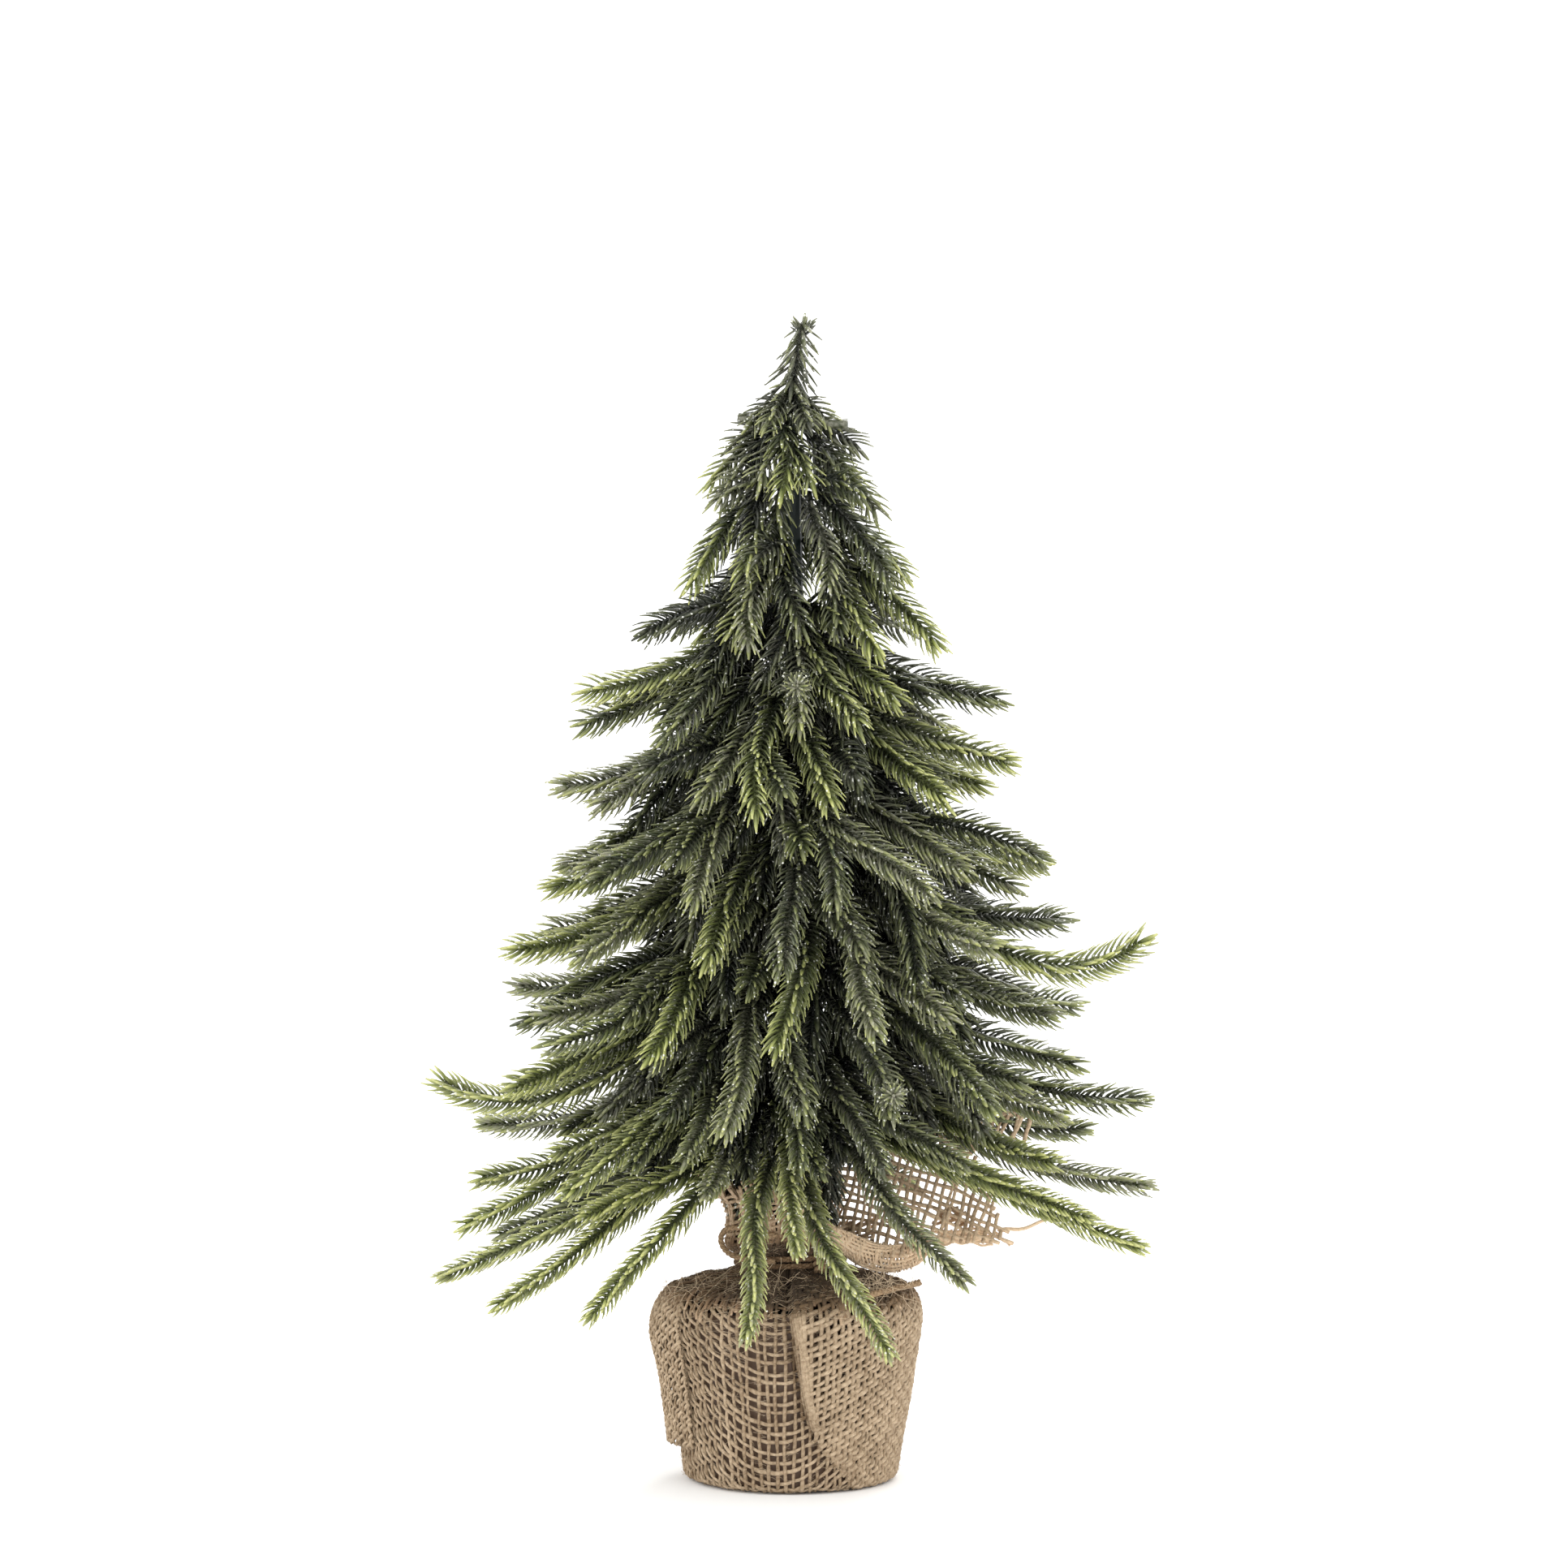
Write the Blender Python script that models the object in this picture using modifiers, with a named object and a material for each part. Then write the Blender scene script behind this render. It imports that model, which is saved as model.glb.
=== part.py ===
"""Artificial tabletop spruce: wired, needled branches on a taped rod, in a weighted pot
that a square of burlap wraps, with a twine tie at the neck.

Metres, +Z up. The origin is the middle of the face that the tree stands on. The front is
-Y and the right is +X. A heading is an angle about Z in degrees: 0 right, -90 front.
"""
from math import cos, exp, radians, sin

import bpy
import bmesh
from mathutils import Vector

MM = 0.001
WELD = 0.002 * MM

# Driving dimensions
HEIGHT = 450 * MM
GAP = 0.3 * MM

POT_BASE_RADIUS = 39 * MM
POT_RIM_RADIUS = 46.4 * MM
POT_RIM_HEIGHT = 68 * MM
POT_WALL = 1.6 * MM
POT_FLOOR = 1.9 * MM
POT_FOOT_BEVEL = 1 * MM
CEMENT_HEIGHT = 58 * MM

CLOTH = 1.2 * MM
CLOTH_SLACK = 0.5 * MM
TIE_HEIGHT = 84.6 * MM
# The cloth's outer side from the edge of its flat foot up to the neck: radius, height
CLOTH_PROFILE = (
    (38.5, 0), (41.2, 1.6), (42.6, 14), (46.2, 42), (49.3, 60), (49.6, 66), (47.4, 71.5),
    (43, 75.2), (36, 77.8), (28, 79.2), (22.5, 79.8), (19.9, 80.6), (19.2, 82.5),
    (19.2, 87.5), (21, 91),
)
CLOTH_SEGMENTS = 32
COLLAR_SHARES = (0.3, 0.65, 1.0)
POT_SEGMENTS = 32
ROD_SEGMENTS = 12

ROD_RADIUS = 1.6 * MM
ROD_TOP = 412 * MM
ROD_FOOT = 9 * MM
# The tape's outer radius and the height that it has it at, from the foot up
TAPE_PROFILE = ((8.5, 58.3), (7.6, 200), (5.2, 330), (3.4, 404), (2.8, 410))

TWINE_RADIUS = 1.2 * MM
TWINE_COIL_RADIUS = 21 * MM
TWINE_TURNS = 2.2
TWINE_PITCH = 2.75 * MM
KNOT_HEADING = -62
KNOT_RADII = (2.6 * MM, 3.8 * MM, 3.4 * MM)
KNOT_BELOW_TIE = 0.5 * MM
TWINE_STEPS_PER_TURN = 16
TWINE_START = 24

STEM_RADIUS = 1.1 * MM
ROOT_GAP = 0.35 * MM
DROOP = 0.9
SQUARE_START = 2 * MM

# The branches, from the lowest tier up. A tier is the height of its roots and its
# branches. A branch is its heading, the reach of its tip from the trunk's axis, its drop
# below the root and the lift of its upturned end, then its side sprigs. A side sprig is
# its turn away from the branch's heading, its reach and its drop. Lengths are in mm.
TIERS = (
    (150, (
        (-166, 138, 69, 0, ((14, 126, 77), (-17, 116, 58))),
        (-131, 114, 78, 0, ((16, 76, 34), (-14, 96, 44))),
        (-91, 88, 54, 0, ((-11, 103, 84), (21, 106, 90))),
        (-30, 130, 44, 0, ((-25, 112, 64), (11, 141, 56))),
        (80, 112, 52, 0, ((-21, 98, 46), (21, 100, 46))),
        (132, 118, 48, 0, ((-22, 104, 38), (22, 104, 50))),
    )),
    (177, (
        (-9, 139, 62, 0, ((-17, 112, 50), (20, 120, 44))),
        (-68, 92, 51, 0, ((-20, 78, 50), (22, 94, 50))),
        (-138, 112, 60, 0, ((-18, 98, 48), (21, 88, 48))),
        (174, 130, 82, 0, ((-15, 133, 44), (13, 122, 60))),
        (56, 122, 50, 0, ((-20, 112, 42), (23, 108, 50))),
    )),
    (204, (
        (2, 138, 58, 0, ((-19, 108, 62), (18, 122, 48))),
        (-48, 112, 56, 0, ((-19, 92, 58), (20, 100, 48))),
        (-106, 92, 64, 0, ((-21, 80, 60), (20, 78, 58))),
        (-173, 137, 92, 44, ((17, 116, 50), (-16, 112, 56))),
        (128, 118, 52, 0, ((-23, 104, 58), (22, 110, 46))),
    )),
    (231, (
        (20, 121, 50, 0, ((-21, 102, 52), (22, 102, 44))),
        (-71, 98, 54, 0, ((-23, 81, 61), (21, 91, 50))),
        (-146, 109, 60, 0, ((-20, 98, 50), (20, 90, 64))),
        (166, 111, 42, 0, ((20, 104, 54), (-22, 98, 52))),
        (92, 106, 54, 0, ((-25, 92, 48), (24, 96, 60))),
    )),
    (258, (
        (-19, 140, 116, 68, ((-21, 98, 50), (24, 107, 42))),
        (-92, 90, 58, 0, ((-22, 78, 56), (22, 76, 50))),
        (-166, 110, 52, 0, ((20, 98, 55), (-20, 96, 46))),
        (128, 102, 50, 0, ((-24, 90, 54), (23, 92, 44))),
        (52, 104, 52, 0, ((-23, 92, 46), (24, 88, 58))),
    )),
    (285, (
        (14, 102, 48, 0, ((-22, 88, 56), (23, 90, 42))),
        (-56, 92, 58, 0, ((-22, 78, 62), (21, 80, 50))),
        (-140, 96, 54, 0, ((-21, 84, 48), (22, 78, 62))),
        (158, 104, 58, 0, ((21, 88, 48), (-24, 86, 50))),
        (84, 92, 50, 0, ((-25, 80, 54), (24, 82, 44))),
    )),
    (312, (
        (-16, 88, 35, 0, ((-22, 76, 50), (23, 76, 44))),
        (-100, 72, 56, 0, ((-24, 62, 50), (24, 64, 52))),
        (176, 90, 44, 0, ((22, 78, 52), (-23, 76, 42))),
        (72, 80, 46, 0, ((-27, 70, 42), (27, 68, 44))),
    )),
    (338, (
        (30, 74, 48, 0, ((-24, 83, 36), (26, 60, 44))),
        (-62, 56, 48, 0, ((-25, 48, 50), (25, 52, 38))),
        (-162, 83, 34, 0, ((22, 64, 54), (-20, 82, 46))),
        (120, 64, 42, 0, ((-26, 54, 41), (25, 56, 38))),
    )),
    (363, (
        (-18, 61, 43, 0, ((-27, 48, 46), (27, 42, 28))),
        (-112, 42, 44, 0, ((-20, 36, 40), (30, 34, 38))),
        (134, 52, 39, 0, ((-30, 42, 39), (28, 48, 35))),
    )),
    (387, (
        (-36, 48, 43, 0, ((-30, 34, 46), (30, 46, 40))),
        (-156, 44, 45, 0, ((-28, 38, 40), (30, 32, 41))),
        (86, 42, 44, 0, ((-32, 36, 40), (32, 34, 46))),
    )),
    (408, (
        (12, 36, 36, 0, ((-30, 28, 28), (32, 28, 34))),
        (-98, 24, 30, 0, ((-32, 20, 25), (32, 21, 26))),
        (164, 34, 24, 0, ((26, 30, 33), (-30, 28, 32))),
    )),
)


def clear_scene():
    for thing in list(bpy.data.objects):
        bpy.data.objects.remove(thing, do_unlink=True)


def collection(name):
    made = bpy.data.collections.new(name)
    bpy.context.scene.collection.children.link(made)
    return made


def finish(name, colour, roughness, metallic=0.0):
    """A material of its own for one sub-part."""
    material = bpy.data.materials.new(name)
    material.use_nodes = True
    shader = material.node_tree.nodes["Principled BSDF"]
    shader.inputs["Base Color"].default_value = (*colour, 1)
    shader.inputs["Roughness"].default_value = roughness
    shader.inputs["Metallic"].default_value = metallic
    return material


def place(name, mesh, home, material=None, location=(0, 0, 0)):
    """Put a mesh in the scene as a named object."""
    thing = bpy.data.objects.new(name, mesh)
    home.objects.link(thing)
    thing.location = location
    if material:
        mesh.materials.append(material)
    return thing


def evaluated_mesh(thing, name):
    """The mesh that an object shows, with its curve caps welded."""
    graph = bpy.context.evaluated_depsgraph_get()
    mesh = bpy.data.meshes.new_from_object(thing.evaluated_get(graph), depsgraph=graph)
    mesh.name = name
    work = bmesh.new()
    work.from_mesh(mesh)
    bmesh.ops.remove_doubles(work, verts=work.verts, dist=WELD)
    bmesh.ops.recalc_face_normals(work, faces=work.faces)
    work.to_mesh(mesh)
    work.free()
    return mesh


def smooth(mesh, angle=40):
    mesh.shade_smooth()
    mesh.set_sharp_from_angle(angle=radians(angle))


def turned(name, profile, home, material, steps, closed=False):
    """A turned solid: its profile in mm, from the top down its outer side."""
    mesh = bpy.data.meshes.new(name)
    points = [(radius * MM, 0, height * MM) for radius, height in profile]
    edges = [(i, i + 1) for i in range(len(points) - 1)]
    if closed:
        edges.append((len(points) - 1, 0))
    mesh.from_pydata(points, edges, [])
    thing = place(name, mesh, home, material)
    screw = thing.modifiers.new("turn", "SCREW")
    screw.steps = steps
    screw.render_steps = steps
    screw.use_merge_vertices = True
    screw.merge_threshold = WELD
    screw.use_smooth_shade = True
    return thing


def tube_curve(name, points, radii, home, resolution=1):
    """A round tube through points, as a curve object with filled caps."""
    curve = bpy.data.curves.new(name, "CURVE")
    curve.dimensions = "3D"
    curve.bevel_depth = 1.0
    curve.bevel_resolution = resolution
    curve.use_fill_caps = True
    spline = curve.splines.new("POLY")
    spline.points.add(len(points) - 1)
    for slot, point, radius in zip(spline.points, points, radii):
        slot.co = (*point, 1)
        slot.radius = radius
    thing = bpy.data.objects.new(name, curve)
    home.objects.link(thing)
    return thing


def tube_mesh(name, points, radii, home, resolution=1):
    thing = tube_curve(name, points, radii, home, resolution)
    bpy.context.view_layer.update()
    mesh = evaluated_mesh(thing, name)
    bpy.data.objects.remove(thing, do_unlink=True)
    return mesh


def interpolate(rows, height):
    """The radius at a height, from rows of radius and height in mm."""
    for (r0, z0), (r1, z1) in zip(rows, rows[1:]):
        if height <= z1:
            share = max(0, (height - z0) / (z1 - z0))
            return r0 + (r1 - r0) * share
    return rows[-1][0]


def at(heading, distance, height):
    """A point at a heading and a distance from the trunk's axis."""
    angle = radians(heading)
    return Vector((distance * cos(angle), distance * sin(angle), height))


def pot_shell(home):
    """The thin plastic pot inside the cloth."""
    floor = CLOTH + CLOTH_SLACK
    base = POT_BASE_RADIUS
    rim = POT_RIM_RADIUS
    profile = (
        (0, floor + POT_FLOOR), (base - POT_WALL, floor + POT_FLOOR),
        (rim - POT_WALL, POT_RIM_HEIGHT), (rim, POT_RIM_HEIGHT),
        (base, floor + POT_FOOT_BEVEL), (base - POT_FOOT_BEVEL, floor), (0, floor),
    )
    rows = [(r / MM, z / MM) for r, z in profile]
    plastic = finish("pot_plastic", (0.05, 0.035, 0.028), 0.5)
    turned("pot_shell", rows, home, plastic, POT_SEGMENTS)


def ballast(home):
    """The cement that fills the pot, cast round the rod."""
    floor = CLOTH + CLOTH_SLACK + POT_FLOOR
    slope = (POT_RIM_RADIUS - POT_BASE_RADIUS) / (POT_RIM_HEIGHT - floor)
    inner = POT_BASE_RADIUS - POT_WALL - 2 * GAP
    hole = ROD_RADIUS + GAP
    top = inner + slope * (CEMENT_HEIGHT - floor)
    profile = (
        (0, ROD_FOOT), (hole, ROD_FOOT), (hole, CEMENT_HEIGHT), (top, CEMENT_HEIGHT),
        (inner, floor + GAP), (0, floor + GAP),
    )
    rows = [(r / MM, z / MM) for r, z in profile]
    turned("ballast", rows, home, finish("cement", (0.42, 0.40, 0.37), 0.9), POT_SEGMENTS)


def trunk(home):
    """The steel rod, and the tape that binds the branches' wires to it."""
    length = ROD_TOP - ROD_FOOT - GAP
    bpy.ops.mesh.primitive_cylinder_add(
        vertices=ROD_SEGMENTS, radius=ROD_RADIUS, depth=length,
        location=(0, 0, ROD_FOOT + GAP + length / 2))
    rod = bpy.context.object
    rod.name = "trunk_rod"
    rod.data.materials.append(finish("rod_steel", (0.35, 0.35, 0.34), 0.4, 1.0))
    smooth(rod.data)
    for other in list(rod.users_collection):
        other.objects.unlink(rod)
    home.objects.link(rod)

    bore = (ROD_RADIUS + GAP) / MM
    foot = TAPE_PROFILE[0][1]
    head = TAPE_PROFILE[-1][1]
    rows = [(bore, foot), (bore, head)] + [row for row in reversed(TAPE_PROFILE)]
    tape = finish("tape_green", (0.03, 0.05, 0.028), 0.7)
    turned("trunk_tape", rows, home, tape, ROD_SEGMENTS, closed=True)


def bump(heading, centre, width):
    """A smooth hump, 1 at its centre and 0 well away from it, round the circle."""
    away = (heading - centre + 180) % 360 - 180
    return exp(-(away / width) ** 2)


def collar_edge(heading):
    """The radius and height in mm of the cloth's open edge above the tie."""
    reach = 29 + 57 * bump(heading, 2, 40) + 14 * bump(heading, 165, 24)
    rise = 112 + 28 * bump(heading, 34, 36) - 29 * bump(heading, -30, 38)
    return reach, rise


def burlap_wrap(home):
    """One closed sheet of cloth: foot, side, shoulder, gathered neck and open collar."""
    work = bmesh.new()
    turns = [360 * k / CLOTH_SEGMENTS for k in range(CLOTH_SEGMENTS)]
    rings = []
    for radius, height in CLOTH_PROFILE:
        rings.append([work.verts.new(at(t, radius * MM, height * MM)) for t in turns])
    neck_radius, neck_height = CLOTH_PROFILE[-1]
    for share in COLLAR_SHARES:
        ring = []
        for t in turns:
            reach, rise = collar_edge(t)
            radius = neck_radius + (reach - neck_radius) * share
            height = neck_height + (rise - neck_height) * share
            ring.append(work.verts.new(at(t, radius * MM, height * MM)))
        rings.append(ring)
    work.faces.new(list(reversed(rings[0])))
    for low, high in zip(rings, rings[1:]):
        for k in range(CLOTH_SEGMENTS):
            n = (k + 1) % CLOTH_SEGMENTS
            work.faces.new((low[k], low[n], high[n], high[k]))
    mesh = bpy.data.meshes.new("burlap_wrap")
    work.to_mesh(mesh)
    work.free()
    smooth(mesh)
    thing = place("burlap_wrap", mesh, home, finish("burlap", (0.36, 0.25, 0.15), 0.95))
    wall = thing.modifiers.new("cloth", "SOLIDIFY")
    wall.thickness = CLOTH
    wall.offset = -1
    wall.use_even_offset = False


def twine(home):
    """Two turns of twine round the neck, their knot and the end that sticks out."""
    jute = (0.40, 0.27, 0.16)
    count = round(TWINE_TURNS * TWINE_STEPS_PER_TURN)
    start = KNOT_HEADING + TWINE_START
    low = TIE_HEIGHT - TWINE_PITCH * TWINE_TURNS / 2
    points = []
    for k in range(count + 1):
        turn = TWINE_TURNS * k / count
        points.append(at(start + 360 * turn, TWINE_COIL_RADIUS, low + TWINE_PITCH * turn))
    mesh = tube_mesh("twine_turns", points, [TWINE_RADIUS] * len(points), home)
    smooth(mesh)
    place("twine_turns", mesh, home, finish("twine_turns", jute, 0.9))

    knot_out = TWINE_COIL_RADIUS + TWINE_RADIUS + GAP + KNOT_RADII[0]
    mesh = bpy.data.meshes.new("twine_knot")
    work = bmesh.new()
    bmesh.ops.create_uvsphere(work, u_segments=12, v_segments=8, radius=1)
    bmesh.ops.scale(work, verts=work.verts, vec=KNOT_RADII)
    work.to_mesh(mesh)
    work.free()
    smooth(mesh, 60)
    centre = at(KNOT_HEADING, knot_out, TIE_HEIGHT - KNOT_BELOW_TIE)
    knot = place("twine_knot", mesh, home, finish("twine_knot", jute, 0.9), centre)
    knot.rotation_euler = (0, 0, radians(KNOT_HEADING))

    # The loose end: from the knot, over the shoulder of the cloth to the right
    route = (
        (17, -26.2, 81.8), (19.5, -31.5, 80.8), (22.5, -37, 77.8), (26.5, -39.4, 74.6),
        (32, -34.6, 75.3), (38, -27.2, 76.2), (44, -19.5, 76.5), (49.5, -13, 76.8),
    )
    points = smooth_route([Vector(p) * MM for p in route], 3)
    mesh = tube_mesh("twine_tail", points, [TWINE_RADIUS] * len(points), home, 2)
    smooth(mesh)
    place("twine_tail", mesh, home, finish("twine_tail", jute, 0.9))


def smooth_route(points, steps):
    """Points on a smooth curve through the given ones, with steps to each stretch."""
    ends = [points[0] * 2 - points[1]] + points + [points[-1] * 2 - points[-2]]
    out = []
    for a, b, c, d in zip(ends, ends[1:], ends[2:], ends[3:]):
        for k in range(steps):
            t = k / steps
            out.append(0.5 * (2 * b + (c - a) * t + (2 * a - 5 * b + 4 * c - d) * t ** 2
                              + (3 * b - a - 3 * c + d) * t ** 3))
    out.append(points[-1])
    return out


def leader_sprig(home):
    """The upright sprig on the trunk's top, leaning a little to the right."""
    foot = Vector((0, 0, ROD_TOP + ROOT_GAP))
    rows = ((0, 0, STEM_RADIUS), (0.12, 0, STEM_RADIUS), (0.22, 0.4, 2.2 * MM),
            (0.6, 2, 2.2 * MM), (1, 4.6, 1.2 * MM))
    length = HEIGHT - foot.z - 0.2 * MM
    points = [Vector((lean * MM, 0, length * share)) for share, lean, _ in rows]
    mesh = tube_mesh("leader_sprig", points, [radius for _, _, radius in rows], home)
    smooth(mesh, 60)
    place("leader_sprig", mesh, home, finish("leader_sprig", (0.12, 0.15, 0.09), 0.6), foot)


def main_path(root_radius, heading, root, reach, drop, lift, shares):
    """Points along a branch's own sprig, at shares of its reach."""
    points = []
    for share in shares:
        distance = root_radius + (reach - root_radius) * share
        height = root - drop * share ** DROOP + lift * share ** 4
        points.append(at(heading, distance, height))
    return points


def union(thing, other):
    """Join another mesh object into this one, as one body."""
    joint = thing.modifiers.new("join", "BOOLEAN")
    joint.operation = "UNION"
    joint.solver = "EXACT"
    joint.object = other
    bpy.context.view_layer.update()
    mesh = evaluated_mesh(thing, thing.name)
    thing.modifiers.clear()
    old = thing.data
    thing.data = mesh
    bpy.data.meshes.remove(old)
    bpy.data.objects.remove(other, do_unlink=True)


# A sprig's sections: its share of the way to the tip, and its radius in stem radii. The
# thick stretch is the sleeve that stands for the needles.
MAIN_SPRIG = ((0.13, 1), (0.2, 2.4), (0.6, 2.35), (1, 1.25))
LIFTED_SPRIG = ((0.13, 1), (0.2, 2.4), (0.45, 2.4), (0.65, 2.2), (0.83, 1.9), (1, 1.25))
SIDE_SPRIG = ((0, 0.9), (0.12, 0.95), (0.22, 2.2), (0.6, 2.1), (1, 1.1))
SIDE_FORKS = (0.11, 0.175)


def branch(name, root, row, home):
    """A wired branch: its own sprig with side sprigs joined on near the root."""
    heading, reach, drop, lift, sides = row
    root_radius = interpolate(TAPE_PROFILE, root) * MM + ROOT_GAP
    reach, drop, lift, root = reach * MM, drop * MM, lift * MM, root * MM
    foot = at(heading, root_radius, root)
    square = at(heading, root_radius + SQUARE_START, root)

    def along(shares):
        return main_path(root_radius, heading, root, reach, drop, lift, shares)

    sections = LIFTED_SPRIG if lift else MAIN_SPRIG
    points = [foot, square] + along([share for share, _ in sections])
    radii = [STEM_RADIUS, STEM_RADIUS] + [STEM_RADIUS * size for _, size in sections]
    mesh = tube_mesh(name, [p - foot for p in points], radii, home)
    green = (0.07, 0.12, 0.035) if root < 300 * MM else (0.06, 0.085, 0.045)
    thing = place(name, mesh, home, None, foot)
    for (turn, side_reach, side_drop), fork in zip(sides, SIDE_FORKS):
        start = along([fork])[0]
        tip = at(heading + turn, side_reach * MM, root - side_drop * MM)
        points = []
        for share, _ in SIDE_SPRIG:
            point = start.lerp(tip, share)
            point.z = start.z + (tip.z - start.z) * share ** DROOP
            points.append(point - foot)
        radii = [STEM_RADIUS * size for _, size in SIDE_SPRIG]
        other = place("side", tube_mesh("side", points, radii, home), home, None, foot)
        union(thing, other)
    smooth(thing.data, 60)
    thing.data.materials.append(finish(name, green, 0.6))


def build():
    clear_scene()
    home = collection("tabletop_spruce")
    pot_shell(home)
    ballast(home)
    trunk(home)
    burlap_wrap(home)
    twine(home)
    leader_sprig(home)
    for tier, (root, rows) in enumerate(TIERS, 1):
        for place_in_tier, row in enumerate(rows, 1):
            branch(f"branch_{tier:02d}_{place_in_tier}", root, row, home)


build()
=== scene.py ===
"""The looks of an artificial tabletop spruce: moulded needles on wired branches, a pot
wrapped in woven burlap, and a jute twine tie. Metres, +Z up, front at -Y, right at +X.
"""
from math import cos, pi, radians, sin, sqrt

import bpy
import numpy as np
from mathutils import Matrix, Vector


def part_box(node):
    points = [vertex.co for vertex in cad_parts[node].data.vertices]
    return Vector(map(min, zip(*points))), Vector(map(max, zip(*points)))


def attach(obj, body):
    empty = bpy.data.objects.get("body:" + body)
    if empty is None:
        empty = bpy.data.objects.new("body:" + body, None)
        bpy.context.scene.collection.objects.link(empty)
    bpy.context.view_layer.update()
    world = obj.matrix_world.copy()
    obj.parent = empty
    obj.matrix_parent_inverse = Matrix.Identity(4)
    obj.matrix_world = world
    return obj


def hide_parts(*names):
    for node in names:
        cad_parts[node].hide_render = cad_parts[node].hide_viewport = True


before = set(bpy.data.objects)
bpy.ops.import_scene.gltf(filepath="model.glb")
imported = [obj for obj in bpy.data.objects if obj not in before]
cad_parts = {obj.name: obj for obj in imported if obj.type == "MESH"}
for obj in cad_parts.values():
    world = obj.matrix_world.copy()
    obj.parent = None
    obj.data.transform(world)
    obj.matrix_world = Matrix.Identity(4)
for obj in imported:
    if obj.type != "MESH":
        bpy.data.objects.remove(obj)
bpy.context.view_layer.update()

MM = 0.001
STAND = "stand"

# ---------------------------------------------------------------- the branches' layout
# The gap from the tape to a stem, the power of a sprig's fall, the tape's radii by height
# in mm, and where along a stem its two side sprigs fork off
ROOT_GAP = 0.35 * MM
DROOP = 0.9
TAPE_PROFILE = ((8.5, 58.3), (7.6, 200), (5.2, 330), (3.4, 404), (2.8, 410))
SIDE_FORKS = (0.11, 0.175)
LINE_POINTS = 28
FILLER_START = 0.06
SPRIG_CUT = 3 * MM
# Frosted star-shaped sprig ends, by branch: the place of the centre in mm
ROSETTES = {"branch_03_2": (36, -80, 154), "branch_08_2": (1, -50, 304)}

# Two sprigs turn up at their tips, by this many mm
TIP_LIFTS = {"branch_03_4": 44, "branch_05_1": 68}
# Blunt ends of cut stems: heading, reach and height in mm
STUBS = {"branch_11_3": (171, 20.5, 411), "branch_11_1": (-12, 22.5, 407.5)}

# Each tier is the height of its roots and its branches. A branch is its heading, reach and
# drop, then its two side sprigs: turn, reach and drop. Lengths are in mm.
TIERS = (
    (150, (
        (-166, 138, 69, (14, 126, 77), (-17, 116, 58)),
        (-131, 114, 78, (16, 76, 34), (-14, 96, 44)),
        (-91, 88, 54, (-11, 103, 84), (21, 106, 90)),
        (-30, 130, 44, (-25, 112, 64), (11, 141, 56)),
        (80, 112, 52, (-21, 98, 46), (21, 100, 46)),
        (132, 118, 48, (-22, 104, 38), (22, 104, 50)),
    )),
    (177, (
        (-9, 139, 62, (-17, 112, 50), (20, 120, 44)),
        (-68, 92, 51, (-20, 78, 50), (22, 94, 50)),
        (-138, 112, 60, (-18, 98, 48), (21, 88, 48)),
        (174, 130, 82, (-15, 133, 44), (13, 122, 60)),
        (56, 122, 50, (-20, 112, 42), (23, 108, 50)),
    )),
    (204, (
        (2, 138, 58, (-19, 108, 62), (18, 122, 48)),
        (-48, 112, 56, (-19, 92, 58), (20, 100, 48)),
        (-106, 92, 64, (-21, 80, 60), (20, 78, 58)),
        (-173, 137, 92, (17, 116, 50), (-16, 112, 56)),
        (128, 118, 52, (-23, 104, 58), (22, 110, 46)),
    )),
    (231, (
        (20, 121, 50, (-21, 102, 52), (22, 102, 44)),
        (-71, 98, 54, (-23, 81, 61), (21, 91, 50)),
        (-146, 109, 60, (-20, 98, 50), (20, 90, 64)),
        (166, 111, 42, (20, 104, 54), (-22, 98, 52)),
        (92, 106, 54, (-25, 92, 48), (24, 96, 60)),
    )),
    (258, (
        (-19, 140, 116, (-21, 98, 50), (24, 107, 42)),
        (-92, 90, 58, (-22, 78, 56), (22, 76, 50)),
        (-166, 110, 52, (20, 98, 55), (-20, 96, 46)),
        (128, 102, 50, (-24, 90, 54), (23, 92, 44)),
        (52, 104, 52, (-23, 92, 46), (24, 88, 58)),
    )),
    (285, (
        (14, 102, 48, (-22, 88, 56), (23, 90, 42)),
        (-56, 92, 58, (-22, 78, 62), (21, 80, 50)),
        (-140, 96, 54, (-21, 84, 48), (22, 78, 62)),
        (158, 104, 58, (21, 88, 48), (-24, 86, 50)),
        (84, 92, 50, (-25, 80, 54), (24, 82, 44)),
    )),
    (312, (
        (-16, 88, 35, (-22, 76, 50), (23, 76, 44)),
        (-100, 72, 56, (-24, 62, 50), (24, 64, 52)),
        (176, 90, 44, (22, 78, 52), (-23, 76, 42)),
        (72, 80, 46, (-27, 70, 42), (27, 68, 44)),
    )),
    (338, (
        (30, 74, 48, (-24, 83, 36), (26, 60, 44)),
        (-62, 56, 48, (-25, 48, 50), (25, 52, 38)),
        (-162, 83, 34, (22, 64, 54), (-20, 82, 46)),
        (120, 64, 42, (-26, 54, 41), (25, 56, 38)),
    )),
    (363, (
        (-18, 61, 43, (-27, 48, 46), (27, 42, 28)),
        (-112, 42, 44, (-20, 36, 40), (30, 34, 38)),
        (134, 52, 39, (-30, 42, 39), (28, 48, 35)),
    )),
    (387, (
        (-36, 48, 43, (-30, 34, 46), (30, 46, 40)),
        (-156, 44, 45, (-28, 38, 40), (30, 32, 41)),
        (86, 42, 44, (-32, 36, 40), (32, 34, 46)),
    )),
    (408, (
        (12, 36, 36, (-30, 28, 28), (32, 28, 34)),
        (-98, 24, 30, (-32, 20, 25), (32, 21, 26)),
        (164, 34, 24, (26, 30, 33), (-30, 28, 32)),
    )),
)


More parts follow.
